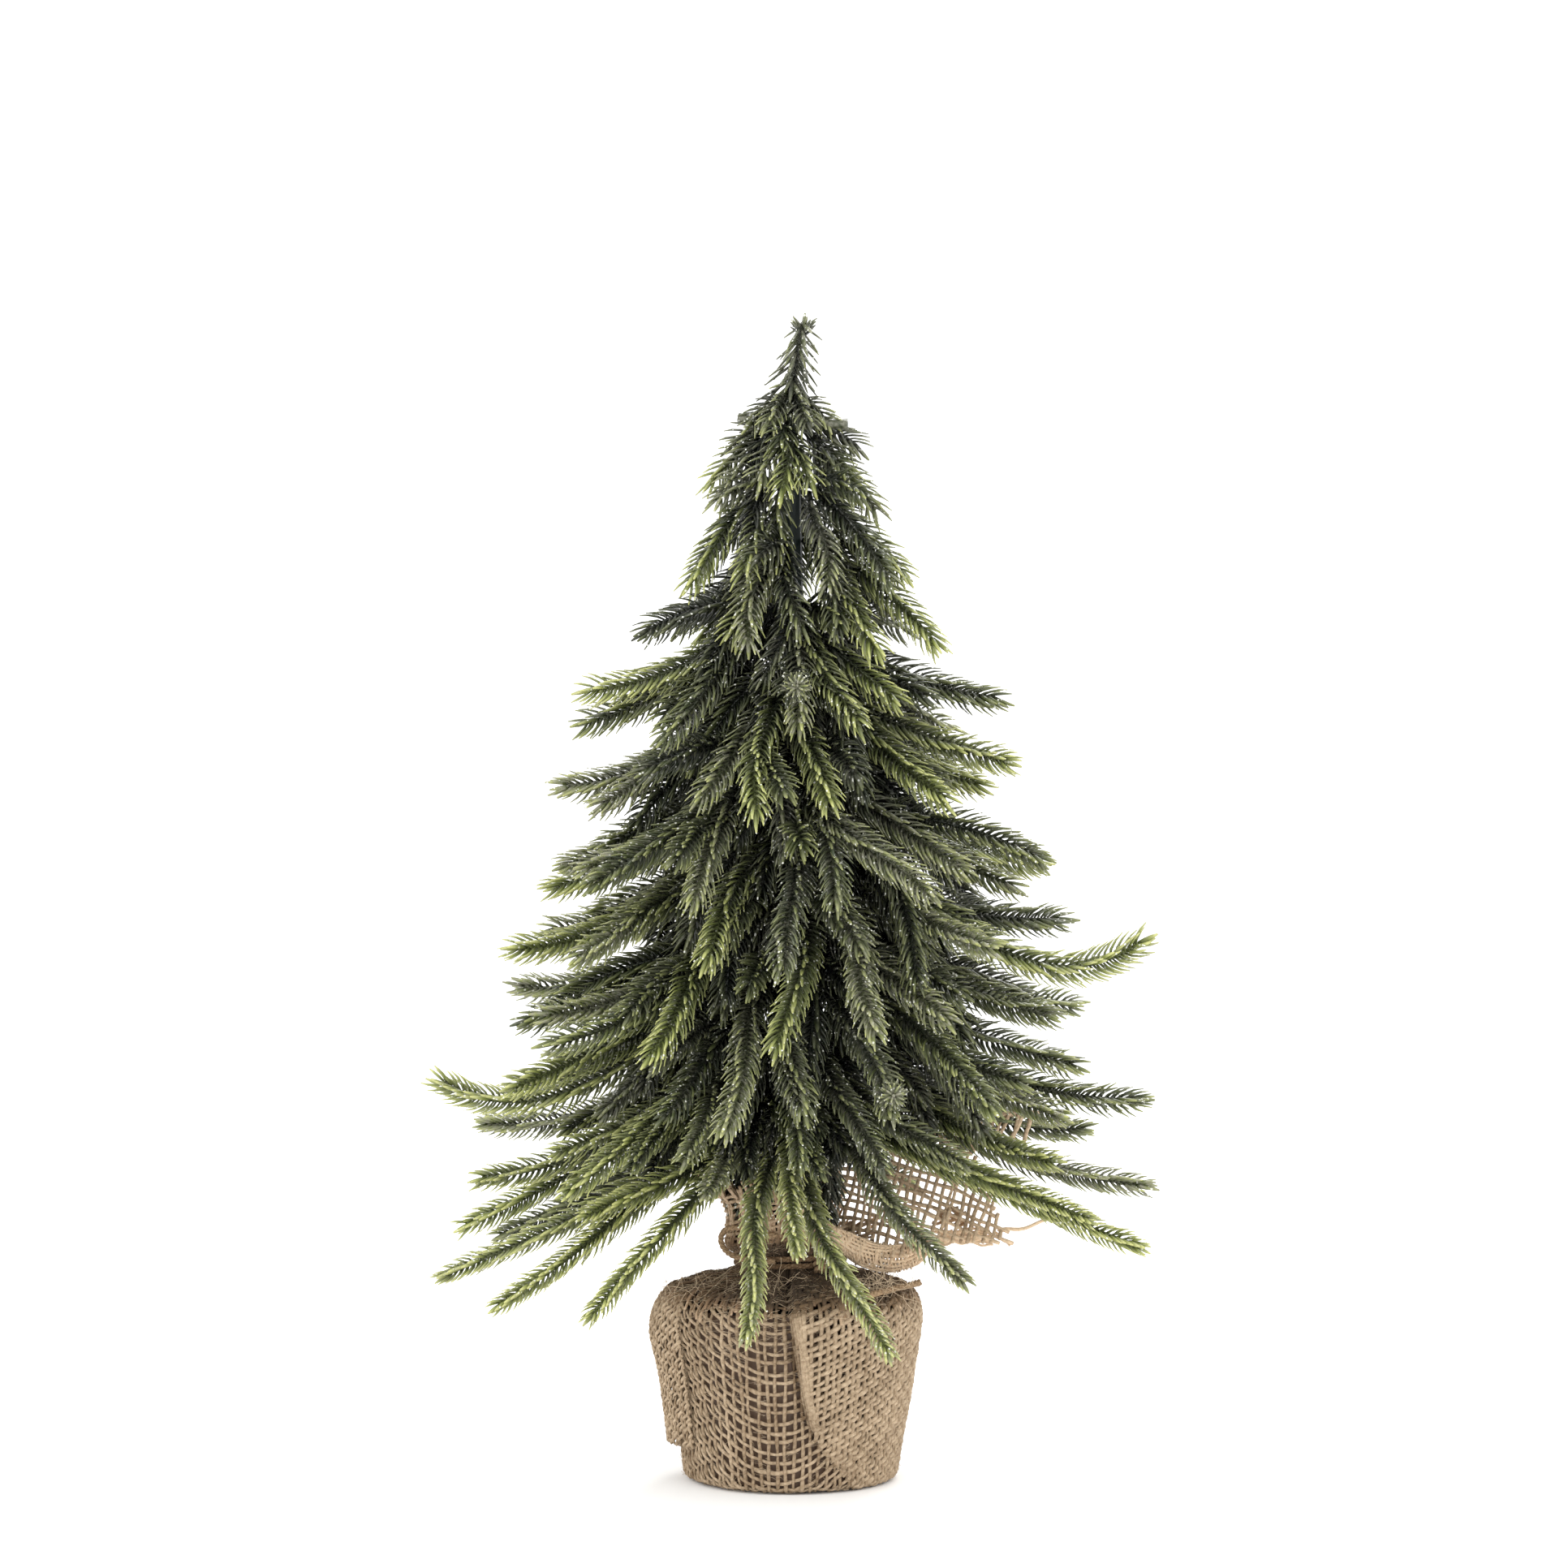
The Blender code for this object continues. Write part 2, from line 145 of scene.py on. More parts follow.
def at(heading, distance, height):
    """A point at a heading in degrees and a distance from the trunk's axis."""
    angle = radians(heading)
    return np.array((distance * cos(angle), distance * sin(angle), height))


def tape_radius(height_mm):
    """The radius of the trunk's tape at a height."""
    for (r0, z0), (r1, z1) in zip(TAPE_PROFILE, TAPE_PROFILE[1:]):
        if height_mm <= z1:
            return (r0 + (r1 - r0) * max(0, (height_mm - z0) / (z1 - z0))) * MM
    return TAPE_PROFILE[-1][0] * MM


def drooping(start, tip, power, count):
    """A line from start to tip, whose fall grows with a power of the way along."""
    share = np.arange(count) / (count - 1)
    line = start + (tip - start) * share[:, None]
    line[:, 2] = start[2] + (tip[2] - start[2]) * share ** power
    return line


def branch_lines(root, row, lift):
    """The centre lines of a branch's sprigs, its own first, as its solid has them."""
    heading, reach, drop, *sides = row
    inner = tape_radius(root) + ROOT_GAP
    reach, drop, lift, root = reach * MM, drop * MM, lift * MM, root * MM

    def along(share):
        height = root - drop * share ** DROOP + lift * share ** 4
        return at(heading, inner + (reach - inner) * share, height)

    lines = [np.array([along(k / (LINE_POINTS - 1)) for k in range(LINE_POINTS)])]
    for (turn, side_reach, side_drop), fork in zip(sides, SIDE_FORKS):
        tip = at(heading + turn, side_reach * MM, root - side_drop * MM)
        lines.append(drooping(along(fork), tip, DROOP, LINE_POINTS))
    return lines


# ------------------------------------------------------------------------- mesh helpers
class Builder:
    """Gathers points, faces and per-point values, then makes one mesh object."""

    def __init__(self):
        self.points = []
        self.faces = []
        self.values = {}
        self.count = 0

    def add(self, points, quads, **values):
        points = np.asarray(points, dtype=np.float64).reshape(-1, 3)
        self.points.append(points)
        self.faces.append(np.asarray(quads, dtype=np.int64).reshape(-1, 4) + self.count)
        for name, value in values.items():
            row = np.broadcast_to(np.asarray(value, dtype=np.float64), (len(points),))
            self.values.setdefault(name, []).append(row)
        self.count += len(points)

    def make(self, name, material):
        points = np.concatenate(self.points)
        quads = np.concatenate(self.faces)
        mesh = bpy.data.meshes.new(name)
        mesh.vertices.add(len(points))
        mesh.vertices.foreach_set("co", points.astype(np.float32).ravel())
        mesh.loops.add(quads.size)
        mesh.loops.foreach_set("vertex_index", quads.astype(np.int32).ravel())
        mesh.polygons.add(len(quads))
        starts = np.arange(0, quads.size, 4, dtype=np.int32)
        mesh.polygons.foreach_set("loop_start", starts)
        mesh.update(calc_edges=True)
        mesh.shade_smooth()
        for key, rows in self.values.items():
            layer = mesh.attributes.new(key, "FLOAT", "POINT")
            layer.data.foreach_set("value", np.concatenate(rows).astype(np.float32))
        mesh.materials.append(material)
        thing = bpy.data.objects.new(name, mesh)
        bpy.context.scene.collection.objects.link(thing)
        return thing


def unit(v):
    """Vectors at length one."""
    return v / np.maximum(np.linalg.norm(v, axis=-1, keepdims=True), 1e-12)


def frames(line, up=(0.0, 0.0, 1.0)):
    """Tangent, side and up directions along a line of points."""
    tangent = unit(np.gradient(line, axis=0))
    side = np.cross(tangent, np.asarray(up))
    flat = np.linalg.norm(side, axis=1) < 1e-3
    side[flat] = np.cross(tangent[flat], (1.0, 0.0, 0.0))
    side = unit(side)
    for k in range(1, len(side)):
        if np.dot(side[k], side[k - 1]) < 0:
            side[k] = -side[k]
    return tangent, side, np.cross(side, tangent)


def lengths_along(line):
    """The length of the line up to each of its points."""
    return np.concatenate([[0], np.cumsum(np.linalg.norm(np.diff(line, axis=0), axis=1))])


def tube(builder, line, radius, sides=6, flat=1.0, up=(0.0, 0.0, 1.0), spun=False, **values):
    """A closed tube along a line; its height is flat times its width. A spun tube also
    stores where each of its points is round the thread, for the yarn's twist."""
    line = np.asarray(line)
    count = len(line)
    radius = np.broadcast_to(np.asarray(radius, dtype=np.float64), (count,))
    _, side, top = frames(line, up)
    turn = np.linspace(0, 2 * pi, sides, endpoint=False)
    ring = (side[:, None] * np.cos(turn)[None, :, None]
            + top[:, None] * np.sin(turn)[None, :, None] * flat)
    points = line[:, None] + ring * radius[:, None, None]
    k = np.arange(count - 1)[:, None] * sides
    a = np.arange(sides)[None, :]
    b = (a + 1) % sides
    quads = np.stack([k + a, k + b, k + sides + b, k + sides + a], axis=-1)
    points = np.concatenate([points.reshape(-1, 3), line[:1], line[-1:]])
    first, last = count * sides, count * sides + 1
    caps = []
    for m in range(0, sides, 2):
        caps.append((first, (m + 2) % sides, (m + 1) % sides, m))
        end = (count - 1) * sides
        caps.append((last, end + m, end + (m + 1) % sides, end + (m + 2) % sides))
    quads = np.concatenate([quads.reshape(-1, 4), np.array(caps)])
    if spun:
        values["run"] = lengths_along(line) / MM
    for name, value in values.items():
        value = np.broadcast_to(np.asarray(value, dtype=np.float64), (count,))
        values[name] = np.concatenate([np.repeat(value, sides), value[:1], value[-1:]])
    if spun:
        values["cv"] = np.concatenate([np.tile(np.cos(turn), count), [0, 0]])
        values["sv"] = np.concatenate([np.tile(np.sin(turn), count), [0, 0]])
    builder.add(points, quads, **values)


def resample(line, step):
    """The same line with points an even step apart, and its length."""
    lengths = lengths_along(line)
    total = lengths[-1]
    where = np.linspace(0, total, max(4, int(total / step) + 1))
    return np.stack([np.interp(where, lengths, row) for row in line.T], axis=1), total


def towards(a, b, angle):
    """Directions at an angle from a towards b, row by row."""
    return a * np.cos(angle)[:, None] + b * np.sin(angle)[:, None]


def smooth(values, kernel):
    """The values averaged with their neighbours, with the end ones held."""
    return np.convolve(np.pad(values, len(kernel) // 2, mode="edge"), kernel, mode="valid")


def polar(turn, radius, height):
    """Points by angle in radians, distance from the axis and height."""
    return np.stack([radius * np.cos(turn), radius * np.sin(turn), height], axis=-1)


def varied(rng, tone, spread):
    """A tone with a random part, from 0 to 1."""
    return np.clip(tone + rng.normal(0, spread), 0, 1)


def fit_piece(piece, body, node_name):
    """Puts a piece on its body, in place of a CAD node, which it hides."""
    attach(piece, body)
    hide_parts(node_name)


# ------------------------------------------------------------------------------ needles
SECTIONS = np.array((0.0, 0.32, 0.7, 1.0))
NEEDLE_WIDTHS = np.array((0.75, 1.0, 0.9, 0.38))
ROW_STEP = radians(144.6)


def needle_quads(levels):
    """The faces of one needle: a four-sided rod of that many rings, closed at its ends."""
    quads = []
    for level in range(levels - 1):
        for k in range(4):
            n = (k + 1) % 4
            quads.append((level * 4 + k, level * 4 + n, level * 4 + 4 + n, level * 4 + 4 + k))
    end = (levels - 1) * 4
    quads += [(3, 2, 1, 0), (end, end + 1, end + 2, end + 3)]
    return np.array(quads)


def sprig(builder, line, rng, style, start=0.1, tone=0.5, frost=0.3, shade=1.0):
    """A moulded sprig: its stem, and curved needles in a close spiral round it. A low
    shade paints its outer end as dark as the shade inside the tree."""
    line, total = resample(line, 2.5 * MM)
    tangent, side, top = frames(line)
    share = np.linspace(0, 1, len(line))
    stem = style["stem"] * (1 - 0.45 * share)
    tube(builder, line, stem, sides=6, along=0.0, end=share * shade, tone=tone, frost=frost * 0.4,
         flake=0.0)

    count = int(total * (1 - start) / style["pitch"])
    where = start + (1 - start) * (np.arange(count) + 0.5) / count
    where = np.clip(where + rng.normal(0, 0.15 / count, count), start, 1)
    index = where * (len(line) - 1)

    def sample(rows):
        return np.stack([np.interp(index, np.arange(len(line)), row) for row in rows.T], axis=1)

    base, t, s, u = sample(line), unit(sample(tangent)), unit(sample(side)), unit(sample(top))
    angle = np.arange(count) * style["turn"] + rng.uniform(0, 2) + rng.normal(0, 0.10, count)
    out = towards(s, u, angle)
    grow = np.clip((where - start) / 0.12, 0.3, 1) ** 0.5
    fade = 1 - style["taper"] * np.clip((where - 0.35) / 0.65, 0, 1)
    length = style["length"] * grow * fade * rng.uniform(0.92, 1.08, count)
    closing = np.clip((where - 0.93) / 0.07, 0, 1)
    lean = style["lean"] + rng.normal(0, 0.05, count)
    lean = lean * (1 - closing * rng.uniform(0.25, 0.85, count))
    forward = towards(t, out, lean)
    forward[:, 2] -= style["hang"] * rng.uniform(0.6, 1.2, count)
    forward = unit(forward)
    aim = unit(t + out * 0.25)
    aim[:, 2] -= style["hang"] * 0.5
    bend = aim - forward * np.sum(aim * forward, axis=1, keepdims=True)
    bend = bend * (style["curl"] * rng.uniform(0.7, 1.25, count))[:, None]
    root = base + out * (style["stem"] * 0.5)
    broad = unit(np.cross(forward, out))
    thick = unit(np.cross(broad, forward))
    width = style["width"] * rng.uniform(0.88, 1.12, count) * (0.75 + 0.25 * fade)

    p = SECTIONS[None, :, None]
    centre = (root[:, None] + forward[:, None] * (length[:, None, None] * p)
              + bend[:, None] * (length[:, None, None] * p ** 2))
    sizes = NEEDLE_WIDTHS[None, :] * width[:, None]
    ring = np.stack([
        broad[:, None] * sizes[:, :, None],
        thick[:, None] * (sizes * 0.7)[:, :, None],
        -broad[:, None] * sizes[:, :, None],
        -thick[:, None] * (sizes * 0.5)[:, :, None]], axis=2)
    points = centre[:, :, None, :] + ring
    each = len(SECTIONS) * 4
    quads = needle_quads(len(SECTIONS))[None] + (np.arange(count) * each)[:, None, None]
    own = np.clip(tone + rng.normal(0, 0.10, count), 0, 1.4)
    cover = np.clip(frost + rng.normal(0, 0.12, count), 0, 1)
    # The end value is the place along the sprig times its shade, which sets the painted shade of
    # the tree's inside
    builder.add(points.reshape(-1, 3), quads.reshape(-1, 4),
                along=np.tile(np.repeat(SECTIONS, 4), count),
                end=np.repeat(where ** style["wake"] * shade, each),
                tone=np.repeat(own, each), frost=np.repeat(cover, each), flake=0.0)

    # Glitter: small square flakes stuck flat on some of the needles
    likely = (0.2 + 1.05 * cover) * (0.35 + 0.65 * where) * (0.3 + 0.7 * shade)
    chosen = np.nonzero(rng.random(count) < likely)[0]
    spot = rng.integers(1, len(SECTIONS), len(chosen))
    centre = centre[chosen, spot] + thick[chosen] * (sizes[chosen, spot] * 0.9)[:, None]
    size = rng.uniform(0.22, 0.50, len(chosen))[:, None] * MM
    normal = unit(thick[chosen] + rng.normal(0, 0.35, (len(chosen), 3)))
    a = unit(np.cross(normal, rng.normal(0, 1, (len(chosen), 3))))
    b = np.cross(normal, a)
    corners = np.stack([centre + a * size, centre + b * size,
                        centre - a * size, centre - b * size], axis=1)
    quads = np.arange(len(chosen) * 4).reshape(-1, 4)
    builder.add(corners.reshape(-1, 3), quads, along=1.0, end=1.0, tone=1.0, frost=1.0,
                flake=1.0)


def needle_style(level):
    """Needles by level, from 0 at the lowest tier to 1 at the top."""
    low, high = max(0, 1 - level / 0.25), max(0, level - 0.6) / 0.4
    return {
        "stem": (1.2 - 0.2 * level) * MM,
        "pitch": (0.52 - 0.06 * low + 0.18 * high) * MM,
        "length": (10.4 - 1.4 * low + 0.4 * high) * MM,
        "lean": radians(69 - 7 * low - 5 * high),
        "taper": 0.20 + 0.16 * low,
        "hang": 0.04 + 0.30 * level,
        "curl": 0.66 - 0.28 * high,
        "width": (0.94 - 0.06 * low - 0.10 * high) * MM,
        # How soon a sprig comes out of the painted shade of the tree's inside; sooner on the lowest
        # tier
        "wake": 0.5 if level < 0.05 else 1.0,
        "turn": ROW_STEP,
    }


def filling_lines(tier, root, row, rng):
    """Short sprigs near a branch's root, which the solid leaves out, each with its shade.
    Those close to the trunk are painted dark as the shade inside the tree, and some of the outer
    ones are level."""
    heading, reach, drop = row[:3]
    inner = tape_radius(root) + ROOT_GAP
    start = at(heading, inner + (reach * MM - inner) * FILLER_START,
               root * MM - drop * MM * FILLER_START ** 1.3)
    level = rng.uniform(0.14, 0.30)
    wanted = [
        (rng.uniform(32, 50), 0.64, level, 0.42), (-rng.uniform(32, 50), 0.56, 0.52, 0.36),
        (rng.uniform(-12, 12), 0.66, 0.12, 0.5), (rng.uniform(12, 30), 0.46, 0.36, 0.10),
        (-rng.uniform(12, 30), 0.42, 0.30, 0.10),
    ]
    if tier <= 2:
        lowest = 0.22 if tier == 1 else 0.36
        wanted = [(turn, share, min(fall, lowest), shade * 0.8)
                  for turn, share, fall, shade in wanted]
        wanted += [(turn, 0.22, 0.19, 0.05) for turn in (-26, 2, 28)]
        wanted += [(turn, 0.15, 0.34, 0.05) for turn in (-14, 18)]
    elif tier >= 8:
        wanted = wanted[1:4] if tier < 10 else wanted[2:4]
    else:
        wanted += [(turn, 0.26, 0.34, 0.05) for turn in (-34, 34)]
    lines = []
    for turn, share, fall, shade in wanted:
        far = reach * share * rng.uniform(0.9, 1.1) * MM
        tip = at(heading + turn, far,
                 root * MM - fall * max(reach, 60) * MM * rng.uniform(0.85, 1.1))
        lines.append((drooping(start, tip, 1.7, 16), shade))
    return lines


def settle(line, cut, rng, arch=0.05, bow=None):
    """The line as a soft sprig lies: arched a little, swayed to a side, and without its
    last bit, so that the end needles reach its old tip."""
    dense, total = resample(line, 1 * MM)
    share = np.linspace(0, 1, len(dense))
    hump = 4 * share * (1 - share)
    dense[:, 2] += arch * total * hump
    along = unit(dense[-1] - dense[0])
    across = unit(np.cross(along, (0, 0, 1)))
    bow = rng.normal(0, 0.040) if bow is None else bow
    dense += across * (bow * total * np.sin(pi * share) ** 2)[:, None]
    dense += across * (rng.normal(0, 0.022) * total * np.sin(2 * pi * share) * share)[:, None]
    keep = max(6, len(dense) - int(cut / (1 * MM)))
    return dense[:keep]


def moods(rng, level):
    """A sprig's tone and frost: some are yellow green, some dark and some frosted."""
    bright = 0.62 if level < 0.05 else 0.32 if level < 0.65 else 0.42
    kind = rng.random()
    if kind < bright:
        return rng.uniform(0.68, 0.95) + (0.15 if level < 0.05 else 0), rng.uniform(0.10, 0.40)
    if kind < bright + 0.24 * (1 - bright) / 0.5:
        return rng.uniform(0.14, 0.36), rng.uniform(0.20, 0.50)
    return rng.uniform(0.36, 0.60), rng.uniform(0.70, 1.0)


def stub(builder, root, heading, reach, rise):
    """The blunt end of a cut stem."""
    line = np.linspace(at(heading, 6 * MM, root * MM), at(heading, reach * MM, rise * MM), 12)
    tube(builder, line, 1.8 * MM, sides=8, along=0.35, end=0.5, tone=0.35, frost=0.9,
         flake=0.0)


def rosette(builder, rng, style, centre):
    """A frosted sprig's end that points forward, seen as a star of needles."""
    start = np.array(centre) * MM
    star = dict(style, length=6.8 * MM, pitch=0.22 * MM, lean=radians(60), hang=0.0, taper=0.45,
                curl=0.15, width=0.5 * MM, turn=radians(137.5))
    sprig(builder, np.linspace(start, start + np.array((1.5, -11, 1)) * MM, 8), rng, star,
          start=0.0, tone=0.45, frost=2.0)


def arch_of(tier, heading, rng):
    """How much a sprig arches. Those at the sides are flat or turn up at their tips, and
    those at the front and back hang in a bow."""
    aside = abs(cos(radians(heading)))
    if tier >= 9:
        return 0.10
    if tier == 1:
        return 0.05 - 0.07 * aside
    return 0.11 - 0.19 * aside ** 1.5 + rng.uniform(-0.045, 0.045)


def make_branches(material):
    for tier, (root, rows) in enumerate(TIERS, 1):
        level = (tier - 1) / (len(TIERS) - 1)
        style = needle_style(level)
        for number, row in enumerate(rows, 1):
            rng = np.random.default_rng(1000 + tier * 20 + number)
            name = f"branch_{tier:02d}_{number}"
            heading, lift = row[0], TIP_LIFTS.get(name, 0)
            builder = Builder()
            for k, line in enumerate(branch_lines(root, row, lift)):
                lifted = k == 0 and lift
                tone, frost = moods(rng, level)
                bow = None
                # Painted shade: most sprigs at the front of tiers 2 and 3 are made dark, as in the
                # shade under the tiers above
                if tier in (2, 3) and -125 < heading < -40 and rng.random() < 0.75:
                    tone, frost = rng.uniform(0.12, 0.34), rng.uniform(0.25, 0.6)
                if lifted:
                    tone, frost = 1.0, 0.3
                if name == "branch_01_3":
                    tone, frost, bow = 1.3, 0.6, (0.0, 0.035, 0.06)[k]
                arch = arch_of(tier, heading if k == 0 else heading + row[2 + k][0], rng)
                if lifted:
                    arch = 0.08 if tier == 5 else 0.0
                path = settle(line, SPRIG_CUT, rng, arch, bow)
                if name == "branch_01_3":
                    path[:, 0] += (4.5, 4.5, 0)[k] * MM * np.linspace(0, 1, len(path)) ** 2
                sprig(builder, path, rng, style, start=0.12 if k == 0 else 0.06, tone=tone,
                      frost=frost)
            fillers = filling_lines(tier, root, row, rng)
            if name in ("branch_02_1", "branch_01_4"):
                # The frayed rim of the cloth shows between these two
                fillers = [pair for pair in fillers if pair[1] < 0.2]
            for line, shade in fillers:
                tone, frost = moods(rng, level)
                sprig(builder, settle(line, 0, rng), rng, style, shade=shade, tone=tone,
                      frost=frost)
            if name in ROSETTES:
                rosette(builder, rng, style, ROSETTES[name])
            if name == "branch_11_2":
                # A long sprig that hangs from here over the front of the trunk
                fall = np.linspace(at(-100, 5 * MM, 396 * MM), np.array((-7, -15, 344)) * MM, 16)
                sprig(builder, settle(fall, 0, rng, 0.1), rng, style, tone=0.8, frost=0.4)
            if name in STUBS:
                stub(builder, root, *STUBS[name])
            fit_piece(builder.make(f"needles_{tier:02d}_{number}", material), name, name)


def make_leader(material):
    rng = np.random.default_rng(77)
    low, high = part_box("leader_sprig")
    length = high[2] - low[2] - 2.5 * MM
    line = np.array([(4.6 * MM * (k / 15) ** 1.6, 0, low[2] + length * k / 15)
                     for k in range(16)])
    style = dict(needle_style(1.0), length=15 * MM, hang=1.35, lean=radians(78), taper=0.40,
                 pitch=0.42 * MM, curl=-0.10, width=0.92 * MM, stem=1.3 * MM)
    builder = Builder()
    sprig(builder, line, rng, style, start=0.05, tone=0.16, frost=0.6)
    # The star of short needles at the very top
    star = dict(style, length=5.6 * MM, hang=0.0, lean=radians(58), taper=0, curl=0.1,
                pitch=0.16 * MM, width=0.85 * MM)
    sprig(builder, np.linspace(line[-1] - (0, 0, 5 * MM), line[-1] - (0, 0, 1.2 * MM), 6),
          rng, star, start=0.0, tone=0.2, frost=0.8)
    # Long needles that spring from the foot and cover the trunk's end
    foot = dict(style, length=14 * MM, hang=1.3, taper=0.0, pitch=0.22 * MM)
    sprig(builder, np.linspace(line[0] - (0, 0, 2 * MM), line[4] + (0, 0, 3 * MM), 5), rng,
          foot, start=0.0, tone=0.25, frost=0.6)
    # Short sprigs that fall from the foot to all sides
    short = dict(needle_style(1.0), length=9 * MM, pitch=0.55 * MM)
    for k, heading in enumerate((178, 128, 66, -6, -66, -122)):
        path = [at(heading, (1.2 + 14 * t) * MM, (418 - 1.5 * t - 8.5 * t ** 2) * MM)
                for t in np.linspace(0, 1, 8)]
        sprig(builder, np.array(path), rng, short, start=0.05, shade=0.9,
              tone=0.3 + 0.4 * (k % 2), frost=0.6)
    fit_piece(builder.make("needles_leader", material), "leader_sprig", "leader_sprig")


# -------------------------------------------------------------------------------- cloth
# The burlap's outside as its solid has it: radius and height in mm, foot to neck
CLOTH_PROFILE = (
    (36, 0.9), (39.3, 1.0), (41.0, 2.2), (42.6, 14), (46.2, 42), (49.0, 58), (49.6, 63),
    (49.2, 68), (47.0, 72.2), (43, 75.4), (36, 77.9), (28, 79.3), (22.5, 80.0), (19.9, 81),
    (19.3, 83), (19.3, 87.5), (21, 91),
)
# In mm and degrees: the tie, the heading that the front's yarns sag to, the yarns and
# their spacing, the mean radius for arcs, the foot's grid, the cloth's depth in its
# solid, the darkest tone that the painted shade reaches and the cloth above the tie
TIE_HEIGHT = 84.6
FRONT = -97.0
PITCH = 3.5
THREAD = 1.38
YARN_STEP = 1.2
MEAN_RADIUS = 46
FOOT_RADIUS = 37.5
FOOT_PITCH = 3.6
CLOTH_INSET = 0.55
DARKEST = -0.56
COLLAR_RUN = 34.0
COLLAR_FOOT = (21, 91)
COLLAR_STEP, COLLAR_WAVE = 1.3, 0.45
MESH_PITCH, MESH_WAVE = 3.2, 0.38
RIM_START = 44


def turned(heading, centre):
    """How far a heading is past another, from -180 to 180 degrees."""
    return (np.asarray(heading, dtype=float) - centre + 180) % 360 - 180


def bump(heading, centre, width):
    """1 at the centre heading, falling to 0 on both sides."""
    return np.exp(-(turned(heading, centre) / width) ** 2)


def ease(value, low, high):
    """0 below low, 1 above high, smooth between."""
    x = np.clip((np.asarray(value, dtype=float) - low) / (high - low), 0, 1)
    return x * x * (3 - 2 * x)


def collar_edge(heading):
    """The radius and height in mm of the cloth's open edge above the tie."""
    reach = 29 + 57 * bump(heading, 2, 40) + 12 * bump(heading, 148, 14)
    rise = 112 + 28 * bump(heading, 34, 36) - 29 * bump(heading, -30, 38)
    return reach, rise


def smooth_profile():
    """The profile at even steps along itself: run, radius, height and outward normal."""
    rows = np.array(CLOTH_PROFILE, dtype=float)
    run = np.concatenate([[0], np.cumsum(np.hypot(*np.diff(rows, axis=0).T))])
    steps = np.linspace(0, run[-1], int(run[-1] * 2))
    kernel = np.hanning(9)
    kernel /= kernel.sum()
    radius, height = (smooth(np.interp(steps, run, row), kernel) for row in rows.T)
    dr, dz = np.gradient(radius), np.gradient(height)
    size = np.hypot(dr, dz)
    return steps, radius, height, dz / size, -dr / size


RUN, RUN_RADIUS, RUN_HEIGHT, RUN_OUT, RUN_UP = smooth_profile()
RUN_END = float(RUN[-1])
WALL = slice(0, RUN_HEIGHT.argmax())
SHOULDER = float(np.interp(64, RUN_HEIGHT[WALL], RUN[WALL]))


def crease(run):
    """The heading of the front pleat's edge, which runs down and to the right."""
    return np.interp(run, (0, 22, SHOULDER - 30, SHOULDER + 4), (-50, -77, -83, -89.5))


def pleat(heading, run):
    """How far the cloth right of the crease stands off, in mm."""
    beyond = turned(heading, crease(run))
    step = ease(beyond, -0.9, 1.1) * np.exp(-np.clip(beyond, 0, 60) / 42.0)
    step = step * ease(run, 16, 46) * (beyond < 90)
    return 3.8 * step * (1 - 0.75 * ease(run, SHOULDER, SHOULDER + 14))


def folds(heading, run):
    """How far the cloth stands off its solid, in mm: the pleat at the front, the gathers
    on the shoulder and a slack wall."""
    beyond = turned(heading, crease(run))
    dip = -2.0 * np.exp(-((beyond + 2.2) / 2.2) ** 2) * ease(run, 30, 60)
    turn = np.radians(heading)
    gather = (np.sin(9 * turn + 1.1) + 0.6 * np.sin(17 * turn + 0.4)
              + 0.4 * np.sin(29 * turn + 2.0))
    gather = 0.75 * gather * ease(run, SHOULDER + 2, SHOULDER + 18)
    gather = gather * (1 - 0.8 * ease(run, RUN_END - 12, RUN_END - 6))
    gather = gather * (1 - 0.7 * bump(heading, -42, 26))
    slack = 0.45 * np.sin(3 * turn + 0.7) * np.sin(np.asarray(run) / 17)
    left = 1.0 * bump(heading, 172, 26) * ease(run, SHOULDER - 26, SHOULDER)
    left = left * (1 - ease(run, SHOULDER + 2, SHOULDER + 16))
    right = 3.0 * bump(heading, -36, 20) * ease(run, SHOULDER + 13, SHOULDER + 21)
    right = right * (1 - ease(run, SHOULDER + 28, SHOULDER + 36))
    sunk = -1.2 * ease(run, SHOULDER + 8, SHOULDER + 20)
    return pleat(heading, run) + dip + gather + slack + left + right + sunk


def sack(heading, run, lift):
    """A point of the wrap and its normal, by heading, run up the profile, and lift."""
    heading, run, lift = (np.asarray(row, dtype=float)
                          for row in np.broadcast_arrays(heading, run, lift))
    out, up = np.interp(run, RUN, RUN_OUT), np.interp(run, RUN, RUN_UP)
    off = lift + folds(heading, run) - CLOTH_INSET
    reach, rise = collar_edge(heading)
    share = np.clip((run - RUN_END) / COLLAR_RUN, 0, 1.6)
    late = 1 + 0.9 * bump(heading, 190, 75)
    radius = np.interp(run, RUN, RUN_RADIUS) + (reach - RUN_RADIUS[-1]) * share ** late
    height = np.interp(run, RUN, RUN_HEIGHT) + (rise - RUN_HEIGHT[-1]) * share
    above = run > RUN_END
    slope = np.hypot(reach - RUN_RADIUS[-1], rise - RUN_HEIGHT[-1])
    out = np.where(above, (rise - RUN_HEIGHT[-1]) / slope, out)
    up = np.where(above, -(reach - RUN_RADIUS[-1]) / slope, up)
    turn = np.radians(heading)
    # Above the tie the cloth has deep pleats, and at the left it puffs over the twine
    pleats = 1.5 * np.sin(13 * turn + 0.5) + 0.8 * np.sin(23 * turn + 1.4)
    off = off + pleats * ease(height, 88, 98) * above
    off = off + 5.4 * bump(heading, 200, 56) * np.exp(-((height - 93) / 6.5) ** 2)
    r = radius + out * off
    height = np.maximum(height + up * off, 0.9)
    return polar(turn, r, height) * MM, polar(turn, out, up)


